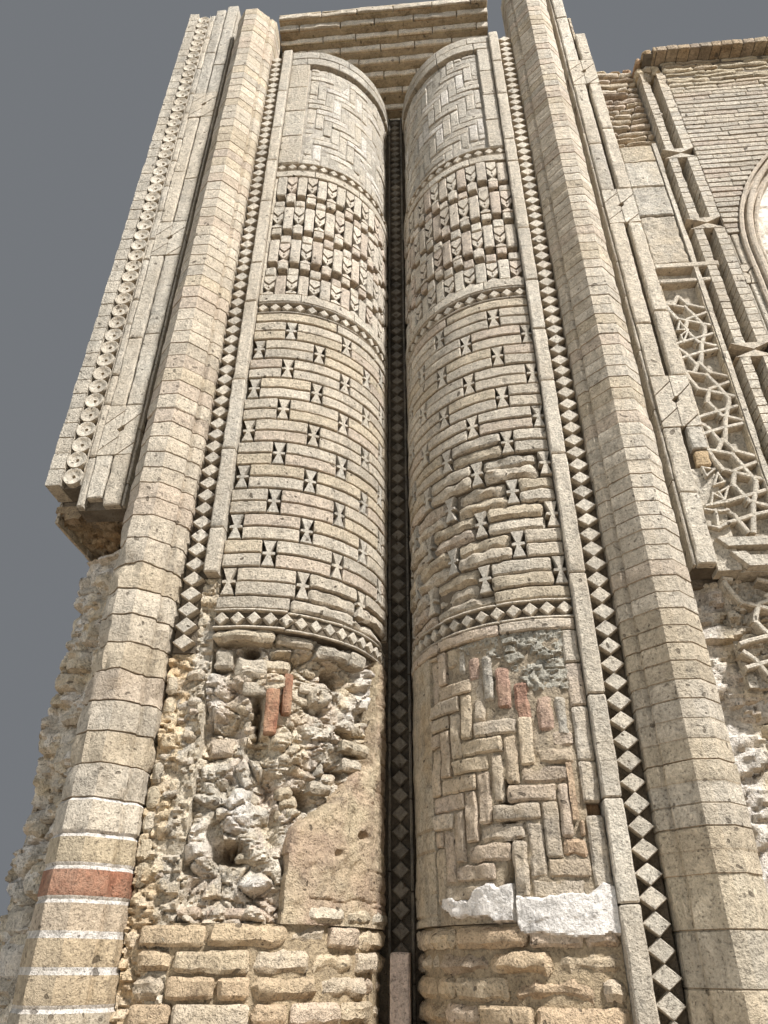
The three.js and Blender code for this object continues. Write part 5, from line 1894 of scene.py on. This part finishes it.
def thin_courses(pile, s0, limit, z0, z1, high, top, foot, tints):
    """Courses whose right end follows limit(z), each with its own strip of mortar behind.
    Above 5.42 m they are more worn and more yellow."""
    pick = np.random.default_rng(pile.seed)
    count = round((z1 - z0) / high)
    edges = np.linspace(z0, z1, count + 1)
    rows, strips = [], []
    for k in range(count):
        end_s = float(limit((edges[k] + edges[k + 1]) / 2))
        if end_s - s0 > 0.03:
            start, end = rows_of(s0, end_s, 0.205, 0.003, (k % 2) * 0.5 + 0.2 * pick.random(), pick, 0.5)
            sag = 0.0012 * pick.normal(size=len(start))
            rows.append(np.stack([start, end, sag + edges[k] + 0.0036, sag + edges[k + 1] - 0.0036], 1))
            strips.append((s0 + 0.001, end_s - 0.001, edges[k], edges[k + 1]))
    bricks = np.concatenate(rows).T
    count = bricks.shape[1]
    gone = np.clip((bricks[2] - 5.42) / 0.25, 0, 1)
    yellowed = shades(count, tints, pile.seed, 0.07) * (1 - gone[:, None] * (0.1, 0.15, 0.28))
    level = top - 0.0025 * pick.random(count) - 0.012 * gone * pick.random(count)
    lay(pile, *bricks, level, top - 0.05, yellowed, across=7, up=2, soft=0.0014, wear=0.0004 + 0.007 * gone,
        rough=0.0012)
    lay(pile, *np.array(strips).T, top - 0.016, foot, 0.6 * DUST, "mortar", up=0, soft=0.0005)


def arch_ring():
    """The profile's corners are radius and depth. For each radius the path starts at the foot
    of the jamb, rises to the springing, and turns until it meets the end of the wall."""
    share = np.concatenate([np.linspace(0, 1, 50)[:-1], 1 + np.linspace(0, 1, 60)])[:, None]
    radius, depth = np.array(RING_PROFILE).T[:, None]
    last = np.arccos((ARCH_X - RIGHT_END + 0.0005) / radius)
    turn = np.clip(share - 1, 0, 1) * last
    x = ARCH_X - radius * np.cos(turn)
    z = np.where(share < 1, WING_FOOT + share * (ARCH_Z - WING_FOOT), ARCH_Z + radius * np.sin(turn))
    worn = 0.0022 * ragged(np.stack([x, depth + 0 * x, z], -1), 0.04, 171) - 0.002
    front = on_facade()(x, z, depth + worn * (depth > -0.1))
    pile = Pile()
    pile.add(front.reshape(1, -1, 3), skin_faces(*x.shape), 0.7 * CREAM + 0.3 * ROSE, "moulding")
    pile.make("arch_mouldings", "arch_ring", sharp=30.0)


def narrow_bands(pile):
    """Two bands between the wall and the jamb, which cross twice, over a bed of mortar."""
    bed(pile, 1.497, 1.5395, WING_FOOT, 4.345, 0.026, foot=WALL_INNER, step=0.05, tint=0.7 * DUST)
    pick = np.random.default_rng(175)
    for band in ((1.497, 1.505), (1.5135, 1.5395)):
        for z0, z1 in ((2.702, 2.88), (3.0, 4.022), (4.14, 4.343)):
            row(pile, (z0, z1), band, (0.4, 0.003, 0.5), pick, [CREAM, PALE], "moulding", -0.003, 0.002,
                upright=True, shade=int(100 * z0), across=1, up=16, soft=0.002, wear=0.0012)
    for z0, z1 in ((2.88, 3.0), (4.022, 4.14)):
        half = (z1 - z0) / 2 - 0.001
        crossing = [
            [(-0.021, -half), (-0.004, -half), (0.0035, -0.012), (-0.01, 0.008), (-0.021, 0.01)],
            [(-0.021, 0.014), (-0.008, 0.011), (0.0, 0.014), (0.021, half - 0.02), (0.021, half),
             (-0.021, half)],
            [(0.0, -half), (0.021, -half), (0.021, half - 0.024), (0.003, 0.01), (0.007, -0.012)],
        ]
        for stone in crossing:
            tint = shades(1, [CREAM, PALE], 9)
            cut(pile, 1.5182, (z0 + z1) / 2, np.array(stone), -0.003, -0.06, tint, "moulding", bevel=0.002)


def arch_wall():
    """The wall of thin bricks and the narrow bands beside it."""
    def right_end(z):
        return min(RIGHT_END - 0.0005, float(arch_side(1.04, z)))

    pile = Pile(on_facade(), 172)
    tints = [0.86 * CREAM, 0.86 * ROSE, 0.88 * PALE, 0.86 * GREY, 0.9 * CREAM, 0.95 * PALE]
    thin_courses(pile, 1.4965, right_end, 4.345, WALL_TOP, 0.0375, -0.001, WALL_INNER, tints)
    narrow_bands(pile)
    pile.make("right_thin_bricks", "right_brick_wall")


def arch_infill():
    """The plaster inside the arch: u runs from 0 on the circle to 1 at the end of the wall."""
    def inside_arch(u, z, d):
        start = arch_side(0.952, z)
        return on_facade()(start + u * (RIGHT_END - 0.0008 - start), z, d)

    pile = Pile(inside_arch)
    crag = crag_shape(-0.047, 0.09, 0.012, 173)
    sheet(pile, 0.0, 1.0, WING_FOOT, 5.02, 0.014, lambda u, z, p: np.minimum(crag(u, z, p), -0.041),
          WALL_INNER, crag_colour(174, (PALE, GREY, WHITE, CREAM, PALE)), "plaster")
    pile.make("niche_plaster", "niche_infill")


arch_ring()
arch_wall()
arch_infill()

# %% [markdown]
# The wall is capped by one row of bricks set on edge, which project 6 cm. Below the wing the
# facing is lost, and rough stones show.

# %% Coping and the rubble below the right wing
STONE_COURSES = 7
STONE_JOINTS = (1.306, 1.59, 1.85)


def coping(seed):
    """Bricks on edge, 6 cm apart, with dark joints that show from below."""
    pile = Pile(on_facade(1, -0.06), seed)
    start, end = rows_of(1.452, RIGHT_END - 0.0005, 0.058, 0.0032, 0.3, np.random.default_rng(seed), 0.3)
    # Brown tints at 0.4 to 0.6 of the pale brick colours: partly the bricks' own ochre, partly painted shade
    # of the underside seen from below.
    tints = shades(len(start), [0.6 * SAND, 0.6 * CREAM, 0.4 * OCHRE + 0.25 * SAND, 0.55 * ROSE], seed, 0.1)
    top = -0.002 - 0.004 * np.random.default_rng(seed).random(len(start))
    lay(pile, start, end, 5.8405, 5.884, top, -0.209, tints, "worn_block", up=3, soft=0.002, wear=0.0016,
        rough=0.002)
    lay(pile, [1.4005, 1.368], [1.448, 1.396], [5.842, 5.838], 5.884, [-0.01, -0.055], -0.19,
        [0.8 * OCHRE, 0.5 * OCHRE + 0.5 * RED], "worn_block", across=4, up=4, soft=0.005, wear=0.008,
        rough=0.003)
    lay(pile, 1.404, RIGHT_END - 0.003, 5.842, 5.88, -0.022, -0.208, 0.5 * DUST, "mortar", across=12,
        soft=0.002)
    pile.make("right_coping_bricks", "right_coping")


def stone_level(s, z):
    """The depth of the solid's rough stones: seven courses, whose joints are shifted by 11 cm
    in every second one, with faces at different depths that slope back to the joints."""
    course = np.floor(z / (WING_FOOT / STONE_COURSES)).clip(0, STONE_COURSES - 1)
    bond = np.where(course % 2 == 0, 0.0, -0.11)
    stone = sum((s > joint + bond).astype(int) for joint in STONE_JOINTS)
    face = 0.045 * (0.5 + 0.5 * np.sin(2.4 * course + 1.9 * stone))
    face = np.where((course == STONE_COURSES - 1) & (stone == 0), 0.0, face)
    near = np.minimum(s - 0.9525, RIGHT_END - s)
    for joint in STONE_JOINTS:
        near = np.minimum(near, np.abs(s - joint - bond))
    return -face - np.clip(0.038 - near, 0, 0.038)


def right_broken_foot(seed):
    """Broken masonry over those stones, with lime on it."""
    pile = Pile(on_facade(1, 0.13), seed)
    washed = crag_colour(seed, (CREAM, GREY, 0.95 * WHITE, SAND, CREAM, ROSE))
    crag = crag_shape(-0.006, 0.105, 0.042, seed)

    def shape(s, z, p):
        return np.minimum(crag(s, z, p) + 0.7 * stone_level(s, z), 0.03)

    def limed(s, z, p):
        near = 0.75 * np.clip((1.1 + 0.06 * noise(p, 0.2, 5) - s) / 0.05, 0, 1)[..., None]
        return washed(s, z, p) * (1 - near) + near * WHITE * (1 + 0.08 * ragged(p, 0.05, 6))[..., None]

    sheet(pile, 0.953, RIGHT_END - 0.012, 0.0, 2.698, 0.0105, shape, -0.3, limed, "rubble")
    loose_stones(pile, 120, (0.96, RIGHT_END - 0.01), (0.05, 2.65), -0.012, seed + 1, size=(0.05, 0.15),
                 colours=(WHITE, CREAM, GREY, SAND, ROSE))
    pile.make("right_broken_foot", "right_rubble_core")


coping(181)
right_broken_foot(185)

# %% [markdown]
# ## The corbelled head
# Nine courses step forward over the groove until they reach the facade. From the ground, each
# shows a thin bright edge and a brown underside, cut by a joint at every brick. The bright edge
# is a pale front painted lighter below the top two steps, as painted sunlight, and the
# underside is darkened partly by painted shade.

# %% Stepped courses
CORBEL_FRONTS = (0.478, 0.411, 0.333, 0.26, 0.202, 0.149, 0.099, 0.043, 0.0)
CORBEL_RISE = 0.057
CORBEL_LEFT, CORBEL_RIGHT = -0.719, 0.62
CORBEL_TOP = 6.813


def corbels(seed):
    """One row of bricks for each step with a pale skin on its front, painted lighter on the lower
    seven steps as painted sunlight, before plain slabs that fill the body and carry bricks at
    both ends and on top."""
    pile = Pile(seed=seed)
    pick = np.random.default_rng(seed)
    wide = (CORBEL_LEFT + 0.0005, CORBEL_RIGHT - 0.0005)
    mix = [SAND, 1.1 * SAND, 0.7 * OCHRE + 0.3 * SAND, 0.6 * OCHRE + 0.3 * RED, OLIVE]
    plain = {"colours": [SAND, CREAM, GREY], "finish": "worn_block", "level": -0.0015, "foot": -0.03,
             "vary": 0.2, "across": 2, "up": 0, "soft": 0.003, "wear": 0.002}
    for k, front in enumerate(CORBEL_FRONTS):
        low = SHAFT_TOP + CORBEL_RISE * k
        high = low + CORBEL_RISE
        shift = (k % 2) * 0.5 + 0.1
        pile.place = on_facade(1, front)
        start, end = rows_of(*wide, 0.245, 0.006, shift, pick, 0.2)
        count = len(start)
        # Fronts of the lower seven steps are 1.35 times lighter: painted sunlight on fronts that the step
        # above shades. The top two are 0.95.
        lime = (1.35 if k < 7 else 0.95) * shades(count, [PALE, CREAM], seed - k, 0.05)
        top = -0.001 - 0.005 * pick.random(count)
        lay(pile, start, end, low + 0.002, high - 0.003, top, -0.016, lime, "moulding", across=12, up=2,
            soft=0.0015, wear=0.0026, rough=0.0025, seed=seed + k)
        tints = shades(count, mix, seed + k, 0.12)
        lay(pile, start, end, low + 0.003, high - 0.004, -0.0135, -0.14, tints, "worn_block", across=12,
            soft=0.002, wear=0.002, rough=0.002, seed=seed + k)
        lay(pile, -0.712, 0.613, low, high - 0.012 * (k == 8), -0.026, front - 0.936, 0.75 * SAND,
            "worn_block", across=12, up=0, soft=0.001)
        if k > 0 and front < 0.44:
            for side, edge in ((-1, CORBEL_LEFT), (1, CORBEL_RIGHT)):
                pile.place = ending(edge, side)
                row(pile, (FACADE_Y + front + 0.01, BACK_Y - 0.004), (low + 0.003, high - 0.003),
                    (0.25, 0.006, shift), pick, shade=seed + 20 + k, **plain)
        pile.place = standing(BACK_Y, 1)
        row(pile, wide, (low + 0.003, high - 0.003), (0.245, 0.006, shift), pick, shade=seed + 30 + k,
            **plain)
    pile.place = upward(CORBEL_TOP)
    courses = coursed(*wide, FACADE_Y + 0.002, BACK_Y - 0.002, 0.119, 0.245, 0.006, seed)
    tints = shades(courses.shape[1], [SAND, GREY, CREAM], seed)
    lay(pile, *courses, -0.0015, -0.015, tints, "worn_block", across=2, soft=0.003, wear=0.002)
    pile.make("corbelled_head", "corbel_stack")


corbels(191)

# %% [markdown]
# ## The mass behind
# No picture shows the back, so it repeats the plain bricks of the other walls. The body is
# built as boxes a little smaller than the solid, and every open face gets courses that fill
# it out again. A box is given by x, depth and height, a face by its place, the distances
# along it and across it, and where they are not the usual ones, the height and length of its
# bricks.

# %% Bodies, and brickwork on the back, ends and tops
INSET = 0.01
LEFT, RIGHT = LEFT_END + 0.0005, RIGHT_END - 0.0005
FRONT, CORE, REAR = FACADE_Y + 0.122, FACADE_Y + 0.479, BACK_Y - 0.001
BOXES = [(LEFT_END, RIGHT_END, 0.478, 0.95, 0.0, 6.3), (LEFT_END, -0.9525, 0.12, 0.49, 3.09, 6.3),
         (LEFT_END, -0.719, 0.12, 0.49, 6.29, 6.7), (0.9525, 1.148, 0.12, 0.49, 2.69, 6.7),
         (1.14, RIGHT_END, 0.15, 0.49, 2.7, 5.885), (-0.9525, -0.56, 0.12, 0.49, 0.0, 6.31),
         (0.56, 0.9625, 0.12, 0.49, 0.0, 6.3)]
OPEN_FACES = [
    (standing(BACK_Y, 1), LEFT, RIGHT, 0.0, 6.298),
    (ending(LEFT_END, -1), FACADE_Y + 0.478, REAR, 0.0, 3.05),
    (ending(LEFT_END, -1), FACADE_Y + 0.121, REAR, 3.052, 6.298),
    (ending(LEFT_END, -1), FACADE_Y + 0.121, FACADE_Y + 0.48, 6.3, 6.698),
    (ending(RIGHT_END, 1), FACADE_Y + 0.478, REAR, 0.0, 2.7),
    (ending(RIGHT_END, 1), FACADE_Y + 0.19, FACADE_Y + 0.476, 0.0, 2.7),
    (ending(RIGHT_END, 1), FACADE_Y + 0.15, REAR, 2.702, 5.884),
    (ending(RIGHT_END, 1), FACADE_Y + 0.48, REAR, 5.886, 6.298),
    (upward(6.3), LEFT, -0.721, FACADE_Y + 0.482, REAR, 0.115),
    (upward(6.3), 0.622, RIGHT, FACADE_Y + 0.482, REAR, 0.115),
    (upward(6.3), 0.59, 0.951, FRONT, FACADE_Y + 0.48, 0.115),
    (upward(6.7), LEFT, -0.721, FRONT, CORE, 0.115),
    (upward(6.7), 0.954, 1.147, FRONT, CORE, 0.115, 0.19),
    (upward(5.885), 1.149, RIGHT, FACADE_Y + 0.15, CORE, 0.11),
    (standing(FACADE_Y + 0.478, -1), 1.149, RIGHT, 5.888, 6.298),
    (standing(FACADE_Y + 0.49, 1), LEFT, -0.721, 6.302, 6.698),
    (standing(FACADE_Y + 0.49, 1), 0.954, 1.147, 6.302, 6.698),
    (ending(1.148, 1), FRONT, CORE, 5.888, 6.698),
    (ending(0.9535, -1), FRONT, CORE, 6.302, 6.698),
]


def brick_face(pile, pick, place, s0, s1, z0, z1, high=0.062, length=0.25):
    """Courses over one open face. Its seeds come from pick."""
    courses = coursed(s0, s1, z0, z1, high, length, 0.006, int(pick.integers(9999)))
    count = courses.shape[1]
    top = -0.0015 - 0.004 * pick.random(count)
    tints = shades(count, [CREAM, SAND, GREY, ROSE], int(pick.integers(9999)), 0.06)
    pile.place = place
    lay(pile, *courses, top, -0.02, tints, "worn_block", across=2, up=0, soft=0.003, wear=0.0022,
        seed=int(pick.integers(99)))


def mass(seed):
    """Boxes for the body, one set of courses for each open face, and the broken underside of
    the left wing."""
    pile = Pile(seed=seed)
    pick = np.random.default_rng(seed)
    for x0, x1, near, far, z0, z1 in BOXES:
        pile.place = on_facade(1, near)
        lay(pile, x0 + INSET, x1 - INSET, z0, z1 - INSET, -INSET, near - far + INSET, DUST, "mortar",
            across=10, up=20, soft=0.002)
    for flat in OPEN_FACES:
        brick_face(pile, pick, *flat)
    pile.place = on_plane((0, 0, 3.05), (1, 0, 0), (0, 0, -1), (0, 1, 0))
    # The underside is tinted dark brown, partly as painted shade of a face seen from below.
    brown = crag_colour(205, (0.6 * OCHRE, 0.6 * SAND, 0.5 * OCHRE, 0.7 * SAND))
    crag = crag_shape(-0.025, 0.07, 0.035, 206)
    sheet(pile, LEFT, -0.954, FRONT, CORE, 0.01, lambda s, z, p: np.minimum(crag(s, z, p), -0.001), -0.08,
          brown, "rubble")
    pile.make("wall_mass", "masonry_core")


mass(201)

# %% [markdown]
# ## Floor
# The object stands on a wide pale floor, which belongs to the stage and not to the object.

# %% The floor
FLOOR_HALF = 30
ground = bpy.data.meshes.new("floor")
corners = [(-FLOOR_HALF, -FLOOR_HALF, 0), (FLOOR_HALF, -FLOOR_HALF, 0), (FLOOR_HALF, FLOOR_HALF, 0),
           (-FLOOR_HALF, FLOOR_HALF, 0)]
ground.from_pydata(corners, [], [(0, 1, 2, 3)])
floor = in_scene("floor", ground)
pale = bpy.data.materials.new("pale_floor")
pale.use_nodes = True
pale.node_tree.nodes["Principled BSDF"].inputs["Base Color"].default_value = (0.42, 0.39, 0.35, 1.0)
ground.materials.append(pale)
